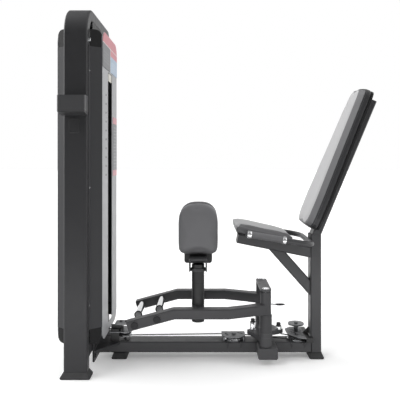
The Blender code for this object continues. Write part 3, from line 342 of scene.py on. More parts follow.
# ---------------------------------------------------------------- rubber feet
# Moulded rubber boots under the tower, the beam and the seat post keep the steel off the floor.
# Rubber is matt, with a dusty bloom.
rubber = finish("moulded_rubber", "#3A3A3B", Roughness=0.72, Specular_IOR_Level=0.25)
bloom = noise(rubber, 0.02, 6)
link(rubber, blend(rubber, bloom, "#333334", "#444445"), "Base Color")
relief(rubber, bloom, 0.12, 0.0008)
dress_all(("near_tower_foot", "far_tower_foot", "beam_foot", "seat_post_foot"), rubber, TUBE_EDGE)


# ---------------------------------------------------------------- covers
# Front and rear covers are folded from 2 mm steel sheet: a silver-painted plate, dark side panels
# held by bright screws, and black edge strips that close the fold.
def axes(owner, output="Object"):
    """X, Y and Z of the point being shaded."""
    split = add(owner, "ShaderNodeSeparateXYZ", {0: place(owner, output)})
    return [split.outputs[axis] for axis in "XYZ"]


def calc(owner, operation, *values):
    """One step of arithmetic, as an output."""
    return add(owner, "ShaderNodeMath", dict(enumerate(values)), operation=operation).outputs[0]


TOWER_X, SCREW_LINE, SCREW_Y = -1.062, 0.05245, 0.2345
FOLD, PLATE_HALF = 0.0029, 0.19612
STRIP_TOP, STRIP_BOTTOM = 1.4099, 0.1931


def cover_paint(name, outward, plate_x):
    """One paint plan per cover, laid out in metres on the sheet: silver plate, charcoal sides,
    black strips above and below the side panels, bright screw heads."""
    material = finish(name, "#B9BABC", Roughness=0.42, Specular_IOR_Level=0.16)
    x, y, z = axes(material)
    over = calc(material, "ABSOLUTE", y)
    beyond = "GREATER_THAN" if outward > 0 else "LESS_THAN"
    plate = calc(material, "MULTIPLY", calc(material, beyond, x, plate_x - outward * FOLD),
                 calc(material, "LESS_THAN", over, PLATE_HALF))
    strip = calc(material, "MAXIMUM", calc(material, "GREATER_THAN", z, STRIP_TOP),
                 calc(material, "LESS_THAN", z, STRIP_BOTTOM))
    screw = calc(material, "MULTIPLY",
                 calc(material, beyond, x, TOWER_X + outward * SCREW_LINE),
                 calc(material, "GREATER_THAN", over, SCREW_Y))
    cloud = noise(material, 0.15, 4)
    silver = blend(material, cloud, "#B4B5B7", "#BEBFC1")
    sides = blend(material, strip, blend(material, cloud, "#424244", "#48484A"), "#171718")
    sheet = blend(material, plate, sides, silver)
    link(material, blend(material, screw, sheet, "#D9DADB"), "Base Color")
    link(material, screw, "Metallic")
    link(material, spread(material, screw, 0.42, 0.16), "Roughness")
    relief(material, noise(material, PEEL, 2), 0.08, 0.0005)
    return material


dress("front_cover", cover_paint("painted_sheet_front_cover", 1, -0.9625), SHEET_EDGE)
dress("rear_cover", cover_paint("painted_sheet_rear_cover", -1, -1.1585), SHEET_EDGE)


# ---------------------------------------------------------------- printed labels
# Two screen-printed polyester films are stuck on the front cover: an instruction placard with
# blank panels under a coloured band, and a tall strip beside the slot.  Satin film, slightly wavy.
def inside(owner, value, low, high):
    """1 where a value lies between two limits."""
    from_middle = calc(owner, "ABSOLUTE", calc(owner, "ADD", value, -(low + high) / 2))
    return calc(owner, "LESS_THAN", from_middle, (high - low) / 2)


def ruled(owner, value, pitch, share):
    """Thin ruled lines at a real pitch."""
    from_line = calc(owner, "FRACT", calc(owner, "DIVIDE", value, pitch))
    return calc(owner, "LESS_THAN", from_line, share)


def printed_film(name, under, areas):
    """Film with flat colours laid over each other.  An area is a colour, then its limits across
    (y) and up (z), None where it has none, and the pitch and share of its ruled lines."""
    material = finish(name, "#D9868F", Roughness=0.38, Specular_IOR_Level=0.30)
    relief(material, noise(material, 0.05, 2), 0.08, 0.001)
    y, z = axes(material)[1:]
    colour = under
    for ink, across, up, *lines in areas:
        mask = inside(material, z, *up)
        if across:
            mask = calc(material, "MULTIPLY", mask, inside(material, y, *across))
        if lines:
            mask = calc(material, "MULTIPLY", mask, ruled(material, z, *lines))
        colour = blend(material, mask, colour, ink)
    link(material, colour, "Base Color")
    return material


PANEL_LOW, PANEL_HIGH, GAP, EDGE = 1.30, 1.437, 0.003, 0.30
dress("placard", printed_film("printed_film_placard", "#D9868F", (
    ("#F3F3F3", None, (PANEL_HIGH, 1.4400)),
    ("#6C6D6F", (-EDGE, -GAP), (PANEL_LOW, PANEL_HIGH)),
    ("#B4C8DD", (GAP, EDGE), (PANEL_LOW, 1.4075)),
    ("#F0F0F0", (-GAP, GAP), (PANEL_LOW, PANEL_HIGH)),
    ("#87888B", (-0.165, -0.040), (1.352, 1.415), 0.0140, 0.30),
    ("#D3DFEB", (0.035, 0.165), (1.345, 1.392), 0.0120, 0.25))), 0)
dress("stack_label", printed_film("printed_film_strip", "#D99AA3", (
    ("#7F8083", None, (0.868, 1.093)),
    ("#999A9D", (0.092, 0.173), (0.884, 1.078), 0.0160, 0.35))), 0)

# A blank cream tag is stuck behind the slot's top, where a dealer would write; and small black
# inserts fill the row of service holes beside the slot.
cream_film = finish("printed_film_tag", "#E9E6DC", Roughness=0.45, Specular_IOR_Level=0.4)
relief(cream_film, noise(cream_film, 0.004, 3), 0.05, 0.0004)
TAG_Y, TAG_Z, TAG_BACK, TAG_FACE = 0.013, 1.3105, -0.9662, -0.9654
TAG_SIZE = (0.086, 0.049, 0.004)
tag = [[Vector((x, TAG_Y + a, TAG_Z + b)) for a, b in rounded(*TAG_SIZE)]
       for x in (TAG_BACK, TAG_FACE)]
piece("slot_tag", *skin(tag), cream_film, "frame")
HOLE_X, HOLE_Y, TOP_HOLE, HOLE_PITCH, HOLES = -0.9625, -0.109, 1.2125, 0.040, 10
INSERT = [(0.0048, 0.0001), (0.0048, 0.0008), (0.0036, 0.0014), (0.0012, 0.0010)]
inserts = [turned(INSERT, (HOLE_X, HOLE_Y, TOP_HOLE - HOLE_PITCH * k), X, 16)
           for k in range(HOLES)]
piece("cover_hole_inserts", *joined(inserts), black_plastic, "frame")

# ---------------------------------------------------------------- accessory tray
# An open moulded ABS tray for a phone and keys, screwed to the near upright.
dress("accessory_tray", moulded_plastic("moulded_abs_tray", "#4A4A4C", 0.30, 0.5), CAST_EDGE)

# ---------------------------------------------------------------- weight stack
# Cast iron plates, ground flat and sprayed black, slide on two hard-chromed guide rods.
# The zinc-plated head plate carries the selector rod; a moulded knob pulls the selector pin.
iron = powder_coat("painted_cast_iron", "#29292A", "#313132", 0.55, 0.25)
dress_all(("resting_plates", "lifted_plates"), iron, 0)
dress("head_plate", zinc, CUT_EDGE)
dress("guide_rods", chrome, 0)
dress("selector_pin", black_plastic, CAST_EDGE)

# ---------------------------------------------------------------- tower pulleys
# Turned aluminium pulleys, machined bright, in black painted hangers.  Tool marks are a fine
# directionless grain, drawn 1.5 mm wide, which suits small wheels that spin.
aluminium = bright_metal("turned_aluminium", "#B4B5B7", 0.20, 0.0015)
black_paint = powder_coat("black_painted_steel", "#242425", "#2B2B2C", 0.45, 0.20)
dress_all(("top_pulley", "bottom_pulley"), aluminium, SHEET_EDGE)
dress("top_pulley_bracket", black_paint, PLATE_EDGE)

# ---------------------------------------------------------------- floor beam
# A 90 x 50 mm tube runs along the floor from the tower to the seat post, with a short cross
# beam under the two hubs.  Its charcoal powder coat is a shade lighter than the tower's.
charcoal = powder_coat("powder_coated_steel_charcoal", "#424244", "#49494B", 0.40, 0.40)
dress_all(("floor_beam", "seat_post"), charcoal, TUBE_EDGE)


# ---------------------------------------------------------------- cable pulleys on the beam
# Three grooved pulleys lead the cable along the beam: a small one between black decks at the
# tower, one under a slotted plate in the middle, and one under the plate at the seat post.
def part_zinc(name, plated):
    """Zinc plating where plated(material, x, y, z) gives 1, and black elsewhere: black paint, and
    by the seat post also painted shadow.
    """
    material = bright_metal(name, SHEET_ZINC, 0.36, 0.010)
    bright = plated(material, *axes(material))
    link(material, blend(material, bright, "#1F1F20", SHEET_ZINC), "Base Color")
    link(material, bright, "Metallic")
    return material


def on_decks(owner, x, y, z):
    """The front bracket's two decks are plated."""
    return calc(owner, "MAXIMUM", *(inside(owner, z, low, high) for low, high in DECKS))


def plated_short_of_post_shade(owner, x, y, z):
    """Plated short of the seat post; beyond, black: partly the block's paint, partly painted
    shadow.
    """
    return calc(owner, "LESS_THAN", x, POST_SHADE_EDGE)


SHEET_ZINC, POST_SHADE_EDGE = "#737476", -0.0485
DECKS = ((0.1186, 0.1234), (0.1526, 0.1574))
dress_all(("front_pulley", "middle_pulley", "rear_pulley"), aluminium, SHEET_EDGE)
# The upper rear pulley's metal is drawn darker than the other pulleys: painted dark reflection.
dress("rear_upper_pulley", bright_metal("dark_metal_wheel_painted_reflection", "#727375", 0.30, 0.004), SHEET_EDGE)
dress("front_pulley_bracket", part_zinc("painted_steel_zinc_decks", on_decks), PLATE_EDGE)
dress("middle_pulley_bracket", bright_metal("zinc_plated_sheet_middle", SHEET_ZINC, 0.36, 0.010),
      SHEET_EDGE)
# Next to the seat post the rear bracket is drawn black: partly black paint, partly painted shadow.
dress("rear_pulley_bracket", part_zinc("zinc_plated_sheet_rear_painted_shadow", plated_short_of_post_shade), SHEET_EDGE)

# ---------------------------------------------------------------- hubs
# Each arm turns on a ground steel shaft; a cast bridge ties the two shaft tops together and a
# chromed nut closes each one.
dress_all(("near_hub_shaft", "far_hub_shaft"), zinc, CUT_EDGE)
dress("hub_bridge", charcoal, CAST_EDGE)
dress_all(("near_hub_nut", "far_hub_nut"), chrome, SHEET_EDGE)

# ---------------------------------------------------------------- cable cams and index pins
# Flame-cut steel sectors hold the cable's ends; each carries a sprung pin in a chromed housing
# with a black pull knob, which locks the arm at its start angle.
dress_all(("near_cam", "far_cam"), charcoal, PLATE_EDGE)
dress_all(("near_index_pin", "far_index_pin"), black_plastic, CUT_EDGE)
CAM_TOP = 0.1202
for name, x, y, tall in (("near", -0.290, 0.000, 0.037), ("far", -0.168, 0.010, 0.016)):
    housing = [(0.0137, 0), (0.0158, 0.0002), (0.0158, 0.0030), (0.0140, 0.0034),
               (0.0140, tall - 0.0030), (0.0128, tall - 0.0006), (0.0120, tall),
               (0.0137, tall - 0.0020)]
    piece(name + "_pin_housing", *turned(housing, (x, y, CAM_TOP), Z, 28, closed=True), chrome,
          name + "_cam")


# ---------------------------------------------------------------- swinging arms
# Bent box tubes welded to a hub sleeve and to a round pad post, which is drawn darker as painted
# shade.  Black plastic plugs close the open ends, and capped chrome foot pegs stick out of the far
# arm.
def base_colour(material):
    """The output that gives a material its colour so far."""
    shader = material.node_tree.nodes["Principled BSDF"]
    return shader.inputs["Base Color"].links[0].from_socket


POST_FRONT, POST_BACK = -0.5758, -0.5182
ARM_MIDDLE, ARM_HALF = 0.2455, 0.0262
RING_LOW, RING_HIGH = 0.3691, 0.3709
arm_paint = powder_coat("powder_coated_steel_arms", "#3F3F41", "#464648", 0.40, 0.30)
x, y, z = axes(arm_paint)
off_arm = calc(arm_paint, "GREATER_THAN",
               calc(arm_paint, "ABSOLUTE", calc(arm_paint, "ADD", z, -ARM_MIDDLE)), ARM_HALF)
post = calc(arm_paint, "MULTIPLY", inside(arm_paint, x, POST_FRONT, POST_BACK), off_arm)
ring = calc(arm_paint, "MULTIPLY", inside(arm_paint, z, RING_LOW, RING_HIGH), post)
# The round pad posts are drawn darker than the arms: painted shade for their rounded sides.
post_painted_shade = blend(arm_paint, post, base_colour(arm_paint), "#222223")
link(arm_paint, blend(arm_paint, ring, post_painted_shade, "#19191A"), "Base Color")
dress_all(("near_arm", "far_arm"), arm_paint, CAST_EDGE)
dress_all(("front_foot_peg", "rear_foot_peg"), chrome, CAST_EDGE)

PLUG_DEPTH, PLUG_CORNER = 0.012, 0.003
PLUG_STEPS = ((1.0, -PLUG_DEPTH), (1.0, -0.0012), (0.985, -0.0002), (0.90, 0.0), (0.86, -0.0010))


def plug(centre, along, width, height):
    """A moulded plug that sits flush in the end of a box tube, its width across the machine."""
    along = along.normalized()
    other = along.cross(Y)
    return skin([[Vector(centre) + along * out + Y * a * k + other * b * k
                  for a, b in rounded(width, height, PLUG_CORNER)] for k, out in PLUG_STEPS])


ARM_SLOPE, ARM_BORE = Vector((-0.203, 0, -0.0545)), (0.0438, 0.0378)
ARM_END_X, ARM_END_Y, ARM_END_Z = -0.855, 0.170, 0.191
for name, side in SIDES:
    arm_end = (ARM_END_X, side * ARM_END_Y, ARM_END_Z)
    piece(name + "_arm_end_plug", *plug(arm_end, ARM_SLOPE, *ARM_BORE), black_plastic,
          name + "_arm")

# Each foot peg is closed by a black cap with a grey button; two plain discs close the near
# arm's holes opposite the pegs.
grey_plastic = moulded_plastic("moulded_abs_grey", "#9C9C9E", 0.36)
disc_plastic = moulded_plastic("moulded_abs_charcoal", "#303032", 0.50, 0.2)
CAP = [(0.0160, 0.0004), (0.0186, 0.0002), (0.0189, -0.0014), (0.0176, -0.0030),
       (0.0146, -0.0034), (0.0138, -0.0020)]
BUTTON = [(0.0135, -0.0018), (0.0132, -0.0032), (0.0108, -0.0040), (0.0020, -0.0042)]
DISC = [(0.0166, -0.0002), (0.0166, -0.0008), (0.0150, -0.0016), (0.0020, -0.0012)]
DISC_SHIFT, ARM_FACE_Y = 0.0025, -0.1976
tips = []
for node in ("front_foot_peg", "rear_foot_peg"):
    low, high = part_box(node)
    tips.append(Vector(((low.x + high.x) / 2, low.y, (low.z + high.z) / 2)))
holes = [Vector((tip.x + DISC_SHIFT, ARM_FACE_Y, tip.z)) for tip in tips]
for name, profile, spots, segments, material, body in (
        ("foot_peg_caps", CAP, tips, 40, black_plastic, "far_arm"),
        ("foot_peg_buttons", BUTTON, tips, 32, grey_plastic, "far_arm"),
        ("near_arm_side_plugs", DISC, holes, 40, disc_plastic, "near_arm")):
    piece(name, *joined([turned(profile, spot, Y, segments) for spot in spots]), material, body)


# The release lever at each hub is a bent steel blade with a moulded grip pressed on its end.
def swept(line, width, thick, side):
    """Flat blade along a line, with slightly rounded edges."""
    rings = []
    for k, p in enumerate(line):
        before, after = line[max(k - 1, 0)], line[min(k + 1, len(line) - 1)]
        up = (after - before).normalized().cross(side).normalized()
        rings.append([p + side * a + up * b for a, b in rounded(width, thick, thick * 0.35, 3)])
    return skin(rings)


BLADE_START, BLADE_LENGTH, BLADE_WIDTH, BLADE_THICK = 0.0292, 0.040, 0.011, 0.004
GRIP_START, GRIP_LENGTH, GRIP_HALF, GRIP_THICK = 0.0660, 0.0510, 0.0090, 0.0050
NEAR_ROOT, FAR_ROOT = (-0.241, -0.100, 0.190), (-0.241, 0.100, 0.209)
for name, root, out, side in (("near", NEAR_ROOT, Y, X), ("far", FAR_ROOT, X, Y)):
    line = []
    for f in (i / 12 for i in range(13)):
        rise = 0.0028 + 0.0016 * math.sin(math.pi * f) - 0.001 * f
        line.append(Vector(root) + out * (BLADE_START + BLADE_LENGTH * f) + Z * rise)
    blade = piece(name + "_lever_blade", *swept(line, BLADE_WIDTH, BLADE_THICK, side), zinc,
                  name + "_release_lever")
    rings = []
    for f in (i / 14 for i in range(15)):
        full = math.sin(math.pi * min(max(f, 0.02), 0.98)) ** 0.45
        rise = 0.0030 - 0.0010 * math.sin(math.pi * f)
        rings.append(circle(Vector(root) + out * (GRIP_START + GRIP_LENGTH * f) + Z * rise,
                            side, Z, GRIP_HALF * full, GRIP_THICK * full, 20))
    grip = piece(name + "_lever_grip", *skin(rings), black_plastic, name + "_release_lever",
                 sharp=70)
    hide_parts(name + "_release_lever")


# ---------------------------------------------------------------- knee pads
# Moulded foam on a steel yoke that swivels on each pad post, covered in grey upholstery vinyl.
# Vinyl has a pebbled leather grain: pebbles 1.2 mm across, drawn 3 mm wide so that they show.
HIDE, PEBBLE, CREASE = 0.07, 0.003, 0.006


def vinyl(name, dark, light):
    """Upholstery vinyl with pebbled grain, slight stretch shading and handled, shinier patches."""
    material = finish(name, light, Roughness=0.44, Specular_IOR_Level=0.30, Sheen_Weight=0.06)
    hide = noise(material, HIDE, 5)
    link(material, blend(material, hide, dark, light), "Base Color")
    grain = calc(material, "ADD", cells(material, PEBBLE), noise(material, CREASE, 6))
    relief(material, grain, 0.16, 0.0006)
    link(material, spread(material, hide, 0.36, 0.52), "Roughness")
    return material


# The foam swells for 20 steps; what lies within 6 mm of the board is held.
FOAM_PRESSURE, FOAM_STEPS, HELD_DEPTH = 4.0, 20, 0.006
EVENING_ROUNDS, SMOOTHING_ROUNDS = 10, 3


def applied(pad):
    """The pad's mesh as its modifiers leave it."""
    graph = bpy.context.evaluated_depsgraph_get()
    return bpy.data.meshes.new_from_object(pad.evaluated_get(graph))


def swollen(pad, flat, crown, bulge):
    """The pad's mesh after a cloth simulation under pressure, its mounting face held; the
    swelling is evened out and held to crown on the front and bulge on the sides."""
    point, normal = flat
    held = pad.vertex_groups.new(name="held")
    held.add([v.index for v in pad.data.vertices if (v.co - point).dot(normal) < HELD_DEPTH],
             1.0, "REPLACE")
    cloth = pad.modifiers.new("foam", "CLOTH")
    cloth.settings.vertex_group_mass = "held"
    cloth.settings.use_pressure = True
    cloth.settings.uniform_pressure_force = FOAM_PRESSURE
    cloth.settings.effector_weights.gravity = 0
    cloth.point_cache.frame_start, cloth.point_cache.frame_end = 1, FOAM_STEPS
    for step in range(1, FOAM_STEPS + 1):
        bpy.context.scene.frame_set(step)
    mesh = applied(pad)
    still = np.array([tuple(v.co) for v in pad.data.vertices])
    move = np.array([tuple(v.co) for v in mesh.vertices]) - still
    faced = np.array([max(v.normal.dot(normal), 0.0) for v in pad.data.vertices])
    limit = bulge + (crown - bulge) * faced ** 4
    length = np.linalg.norm(move, axis=1) + 1e-9
    move *= (limit * np.tanh(length / limit) / length)[:, None]
    ends = np.array([tuple(e.vertices) for e in pad.data.edges])
    count = np.bincount(ends.ravel(), minlength=len(still))[:, None]
    for step in range(EVENING_ROUNDS):
        total = np.zeros_like(move)
        np.add.at(total, ends[:, 0], move[ends[:, 1]])
        np.add.at(total, ends[:, 1], move[ends[:, 0]])
        move = (move + total / count) / 2
    for vertex, co in zip(mesh.vertices, still + move):
        vertex.co = co
    return mesh


def stuffed(name, rings, flat, crown, bulge=0.002, voxel=0.004):
    """Foam under a stretched cover: the closed form is remeshed, swollen, evened and subdivided
    once.  flat = (point, normal) of the mounting face."""
    pad = stand(name, closed_mesh(name, *skin(rings), triangles=True))
    remesh = pad.modifiers.new("cover", "REMESH")
    remesh.mode = "VOXEL"
    remesh.voxel_size = voxel
    pad.data = applied(pad)
    pad.modifiers.clear()
    mesh = swollen(pad, flat, crown, bulge)
    pad.modifiers.clear()
    pad.data = mesh
    bpy.context.scene.frame_set(1)
    smooth = pad.modifiers.new("even", "SMOOTH")
    smooth.iterations = SMOOTHING_ROUNDS
    smooth.factor = 0.5
    fine = pad.modifiers.new("fine", "SUBSURF")
    fine.levels = fine.render_levels = 1
    pad.data = applied(pad)
    pad.modifiers.clear()
    pad.data.shade_smooth()
    return pad


def upholster(pad, cover, body, node):
    """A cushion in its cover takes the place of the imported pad."""
    pad.data.materials.clear()
    pad.data.materials.append(cover)
    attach(pad, body)
    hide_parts(node)


def dense(loop, spacing):
    """Evenly spaced points along a closed line of points."""
    out, carry = [], 0.0
    for a, b in zip(loop, loop[1:] + loop[:1]):
        length = (b - a).length
        while carry < length:
            out.append(a.lerp(b, carry / length))
            carry += spacing
        carry -= length
    return out


SEAM_DEPTH, SEAM_STEP = 0.0012, 0.0015


def seam(pad, loops, width):
    """Pulls the cover in along sewn lines, as the thread does."""
    points = [p for loop in loops for p in dense(loop, SEAM_STEP)]
    tree = KDTree(len(points))
    for k, p in enumerate(points):
        tree.insert(p, k)
    tree.balance()
    normals = [v.normal.copy() for v in pad.data.vertices]
    for vertex, normal in zip(pad.data.vertices, normals):
        gap = tree.find(vertex.co)[2]
        if gap < 3 * width:
            vertex.co -= normal * SEAM_DEPTH * math.exp(-(gap / width) ** 2)


thread = finish("bonded_nylon_thread", "#6E6E70", Roughness=0.6, Specular_IOR_Level=0.3)
STITCH_PITCH, STITCH_LENGTH, THREAD_RADIUS, THREAD_LIFT = 0.0065, 0.0042, 0.0006, 0.0002
BAR_ENDS = ((-0.5, 0.3), (-0.3, 1.0), (0.3, 1.0), (0.5, 0.3))


def stitches(name, pad, loop, body):
    """Lockstitches lying on the cover, one short bar of thread each."""
    surface = BVHTree.FromPolygons([v.co for v in pad.data.vertices],
                                   [p.vertices[:] for p in pad.data.polygons])
    line = dense(loop, STITCH_PITCH)
    bars = []
    for p, after in zip(line, line[1:] + line[:1]):
        spot, normal = surface.find_nearest(p)[:2]
        side = (after - p).normalized().cross(normal).normalized()
        ahead = normal.cross(side).normalized()
        bars.append(skin([circle(spot + ahead * STITCH_LENGTH * t + normal * THREAD_LIFT, side,
                                 normal, THREAD_RADIUS * r, THREAD_RADIUS * r, 5)
                          for t, r in BAR_ENDS]))
    return piece(name, *joined(bars), thread, body)


PAD_X, PAD_LOW, PAD_HIGH = -0.547, 0.488, 0.719
PAD_BACK, PAD_FACE = 0.0363, 0.098
THICK = PAD_FACE - PAD_BACK
PAD_HALF, LOW_CORNER, HIGH_CORNER, CORNER_INSET = 0.0915, 0.030, 0.068, 0.6


def knee_ring(side, depth, inset):
    """Cushion seen square on: wide round shoulders above, smaller corners below."""
    half = PAD_HALF - inset
    low, high = (corner - inset * CORNER_INSET for corner in (LOW_CORNER, HIGH_CORNER))
    z0, z1 = PAD_LOW + inset, PAD_HIGH - inset
    y = side * (PAD_BACK + depth)
    return [Vector((PAD_X + cx + radius * math.cos(math.radians(start + 10 * i)), y,
                    cz + radius * math.sin(math.radians(start + 10 * i))))
            for cx, cz, radius, start in ((half - high, z1 - high, high, 0),
                                          (high - half, z1 - high, high, 90),
                                          (low - half, z0 + low, low, 180),
                                          (half - low, z0 + low, low, 270)) for i in range(10)]


for name, side in SIDES:
    yoke_paint = powder_coat("powder_coated_yoke_" + name, "#3E3E40", "#464648", 0.45, 0.25)
    dress(name + "_pad_yoke", yoke_paint, CUT_EDGE)
# The knee vinyl is drawn darker than the seat's top: partly a darker tone, partly painted shade on
# faces turned from the lamps.
knee_vinyl = vinyl("upholstery_vinyl_grey_tone_and_shade", "#77777A", "#7E7E80")
KNEE_LEVELS = ((0.0, 0.006), (0.004, 0.0025), (0.030, 0.0020), (THICK - 0.020, 0.0025),
               (THICK - 0.012, 0.006), (THICK - 0.0065, 0.014), (THICK - 0.0045, 0.026))
near_knee = stuffed("near_knee_cushion", [knee_ring(-1, d, i) for d, i in KNEE_LEVELS],
                    (Vector((PAD_X, -PAD_BACK, 0.6)), -Y), crown=0.006)
seam(near_knee, [knee_ring(-1, 0.016, -0.001), knee_ring(-1, THICK - 0.018, 0.002)], 0.0022)
mirrored = near_knee.data.copy()
for vertex in mirrored.vertices:
    vertex.co.y = -vertex.co.y
mirrored.flip_normals()
far_knee = stand("far_knee_cushion", mirrored)
for (name, side), pad in zip(SIDES, (near_knee, far_knee)):
    upholster(pad, knee_vinyl, name + "_pad", name + "_knee_pad")
    stitches(name + "_knee_stitching", pad, knee_ring(side, THICK - 0.0215, 0.0005),
             name + "_pad")

# ---------------------------------------------------------------- seat frame
# A raked rail and a strut of 75 x 50 mm and 50 mm tube weld to the seat post; a leaning tube
# behind carries the back rest.  Black plugs close the open tube ends.
dress_all(("seat_rail", "seat_brace", "back_tube", "handle_bar"), charcoal, TUBE_EDGE)
dress_all(("seat_board", "back_board"), black_paint, CUT_EDGE)
SEAT_TILT, LEAN = math.atan(0.1995), math.radians(22.7)
seat_along = Vector((math.cos(SEAT_TILT), 0, -math.sin(SEAT_TILT)))
seat_up = Vector((math.sin(SEAT_TILT), 0, math.cos(SEAT_TILT)))
back_up = Vector((math.sin(LEAN), 0, math.cos(LEAN)))
back_out = Vector((-math.cos(LEAN), 0, math.sin(LEAN)))
RAIL_X, RAIL_Z, RAIL_HALF, RAIL_BORE = -0.3635, 0.5316, 0.025, (0.0688, 0.0438)
POST_X, BACK_FOOT, BACK_TOP, BACK_TUBE_BORE = 0.025, 0.5723, 1.198, (0.0688, 0.0338)
BACK_TUBE_HALF, BACK_TUBE_DEEP = 0.020, 0.040
rail_end = Vector((RAIL_X, 0, RAIL_Z + RAIL_HALF / math.cos(SEAT_TILT)))
piece("seat_rail_plug", *plug(rail_end, -seat_along, *RAIL_BORE), black_plastic, "frame")
tube_foot = Vector((POST_X - BACK_TUBE_HALF / math.cos(LEAN), 0, BACK_FOOT))
tube_end = tube_foot + back_up * ((BACK_TOP - tube_foot.z) / back_up.z)
piece("back_tube_plug", *plug(tube_end, back_up, *BACK_TUBE_BORE), black_plastic, "frame")

# ---------------------------------------------------------------- seat pad
# Foam on a plywood board: a crowned top panel of light grey vinyl sewn to a straight side band
# drawn darker, partly darker vinyl and partly painted shade, thicker at the nose, with sides drawn
# in towards a straight rear edge.
SEAT_BOARD, SEAT_HALF, NOSE_RADIUS = 0.010, 0.145, 0.034
NOSE_RISE, NOSE_REACH = 0.23, 0.16
SEAT_FRONT_X, SEAT_REAR_X, RAIL_TO_SEAT = -0.391, -0.1213, 0.0503
seat_base = Vector((RAIL_X, 0, RAIL_Z)) + seat_up * RAIL_TO_SEAT
seat_start = seat_base + seat_along * ((SEAT_FRONT_X - seat_base.x) / seat_along.x)
SEAT_LENGTH = (SEAT_REAR_X - SEAT_FRONT_X) / seat_along.x


def mirrored_outline(half):
    """A whole outline from the half on the +Y side."""
    return half + [(s, -w) for s, w in half[-2:0:-1]]


def seat_ring(height, inset, nose=0.0):
    """Outline with round front corners and small rear ones, lifted at the nose."""
    wide, front, rear = SEAT_HALF - inset, inset + nose, SEAT_LENGTH - inset
    half = [(front, 0.0), (front, wide * 0.5)]
    half += [(front + NOSE_RADIUS * (1 - math.cos(math.pi / 24 * i)),
              wide - NOSE_RADIUS * (1 - math.sin(math.pi / 24 * i))) for i in range(13)]
    half += [(SEAT_LENGTH * f, wide - drawn)
             for f, drawn in ((0.32, 0.0), (0.50, 0.0), (0.62, 0.005), (0.74, 0.012))]
    half += [(rear - 0.022, wide - 0.031), (rear - 0.008, wide - 0.035), (rear, wide - 0.044),
             (rear, 0.0)]
    return [seat_start + seat_along * s + Y * w
            + seat_up * (SEAT_BOARD + height * (1 + NOSE_RISE * max(0.0, 1 - s / NOSE_REACH) ** 2))
            for s, w in mirrored_outline(half)]


SEAT_LEVELS = ((0.0008, 0.005, 0.012), (0.004, 0.0020, 0.010), (0.0130, 0.0012, 0.004),
               (0.0225, 0.0012, 0.0), (0.0255, 0.0035, 0.001), (0.0310, 0.020, 0.004),
               (0.0335, 0.036, 0.008), (0.0345, 0.050, 0.016))
seat_pad = stuffed("seat_cushion", [seat_ring(*level) for level in SEAT_LEVELS],
                   (seat_start + seat_up * SEAT_BOARD, seat_up), crown=0.006)
seam(seat_pad, [seat_ring(0.0250, 0.0028)], 0.0020)


def beyond(direction, point):
    """Plane through a point: its direction and its distance from the origin."""
    return direction, point.dot(direction)


def panelled_and_shaded(name, dark, light, areas):
    """Vinyl sewn from panels of several shades, with painted light and shade laid over them.  Each
    area is a colour and the planes it lies beyond, any one of them being enough."""
    material = vinyl(name, dark, light)
    colour = base_colour(material)
    for shade, planes in areas:
        mask = 0.0
        for direction, level in planes:
            depth = add(material, "ShaderNodeVectorMath", {0: place(material), 1: direction},
                        operation="DOT_PRODUCT").outputs["Value"]
            mask = calc(material, "MAXIMUM", mask, calc(material, "GREATER_THAN", depth, level))
        colour = blend(material, mask, colour, shade)
    link(material, colour, "Base Color")
    return material


# The light centre panel wraps down over the nose; the borders are darker, partly darker vinyl and
# partly painted shade, drawn in at the rear, and start behind the nose with a slanted corner.
BORDER, TAPER = 0.106, 0.20
corner = (seat_up - seat_along).normalized()
border_tone_and_shade = []
for side in (Y, -Y):
    border_tone_and_shade += [(side, BORDER), beyond((side + seat_along * TAPER).normalized(),
                                       seat_start + seat_along * (SEAT_LENGTH * 0.50)
                                       + side * BORDER)]
nose = (beyond(-seat_along, seat_start + seat_along * 0.012),
        beyond(corner, seat_start + seat_along * 0.014 + seat_up * (SEAT_BOARD + 0.0240)))
# The darker borders are partly a darker vinyl and partly painted shade on the sides turned from the
# lamps.
seat_vinyl = panelled_and_shaded("upholstery_vinyl_seat_tone_and_shade", "#A2A2A3", "#A9A9AA",
                      (("#636365", border_tone_and_shade), ("#A6A6A7", nose)))
upholster(seat_pad, seat_vinyl, "frame", "seat_pad")
stitches("seat_stitching", seat_pad, seat_ring(0.0225, 0.0005), "frame")

# ---------------------------------------------------------------- back pad
# A tall tapered cushion: a light front panel, with wide slanting borders, darker sides and
# near-black ends, sewn edge to edge round the foam on its board.  These shades are partly vinyl
# colour, partly painted light on the front and painted shade on the sides and ends.
BACK_BOARD, BACK_LOW, BACK_HIGH = 0.011, 0.026, 0.716
BACK_WIDE, BACK_NARROW = 0.150, 0.104
BACK_BASE_Z, BACK_GAP = 0.572, 0.0003
back_start = (Vector((POST_X - BACK_TUBE_DEEP / math.cos(LEAN), 0, BACK_BASE_Z))
              + back_out * BACK_GAP)


def back_ring(height, side_inset, end_inset):
    """Wide at the bottom, tapering to the top, with cut corners."""
    low, high = BACK_LOW + end_inset, BACK_HIGH - end_inset
    wide, top = BACK_WIDE - side_inset, BACK_NARROW - side_inset
    half = [(low, 0.0), (low, wide * 0.3)]
    half += [(low + up, wide - cut) for up, cut in ((0.0, 0.050), (0.006, 0.028), (0.022, 0.008),
                                                    (0.050, 0.0), (0.140, 0.001))]
    half += [(low + 0.140 + (high - 0.170 - low) * i / 9,
              wide - 0.001 - (wide - 0.001 - top) * (i / 9) ** 0.9) for i in range(1, 9)]
    half += [(high - 0.030, top), (high - 0.010, top - 0.009), (high, top - 0.028),
             (high, top * 0.3), (high, 0.0)]
    return [back_start + back_up * s + Y * w + back_out * (BACK_BOARD + height)
            for s, w in mirrored_outline(half)]


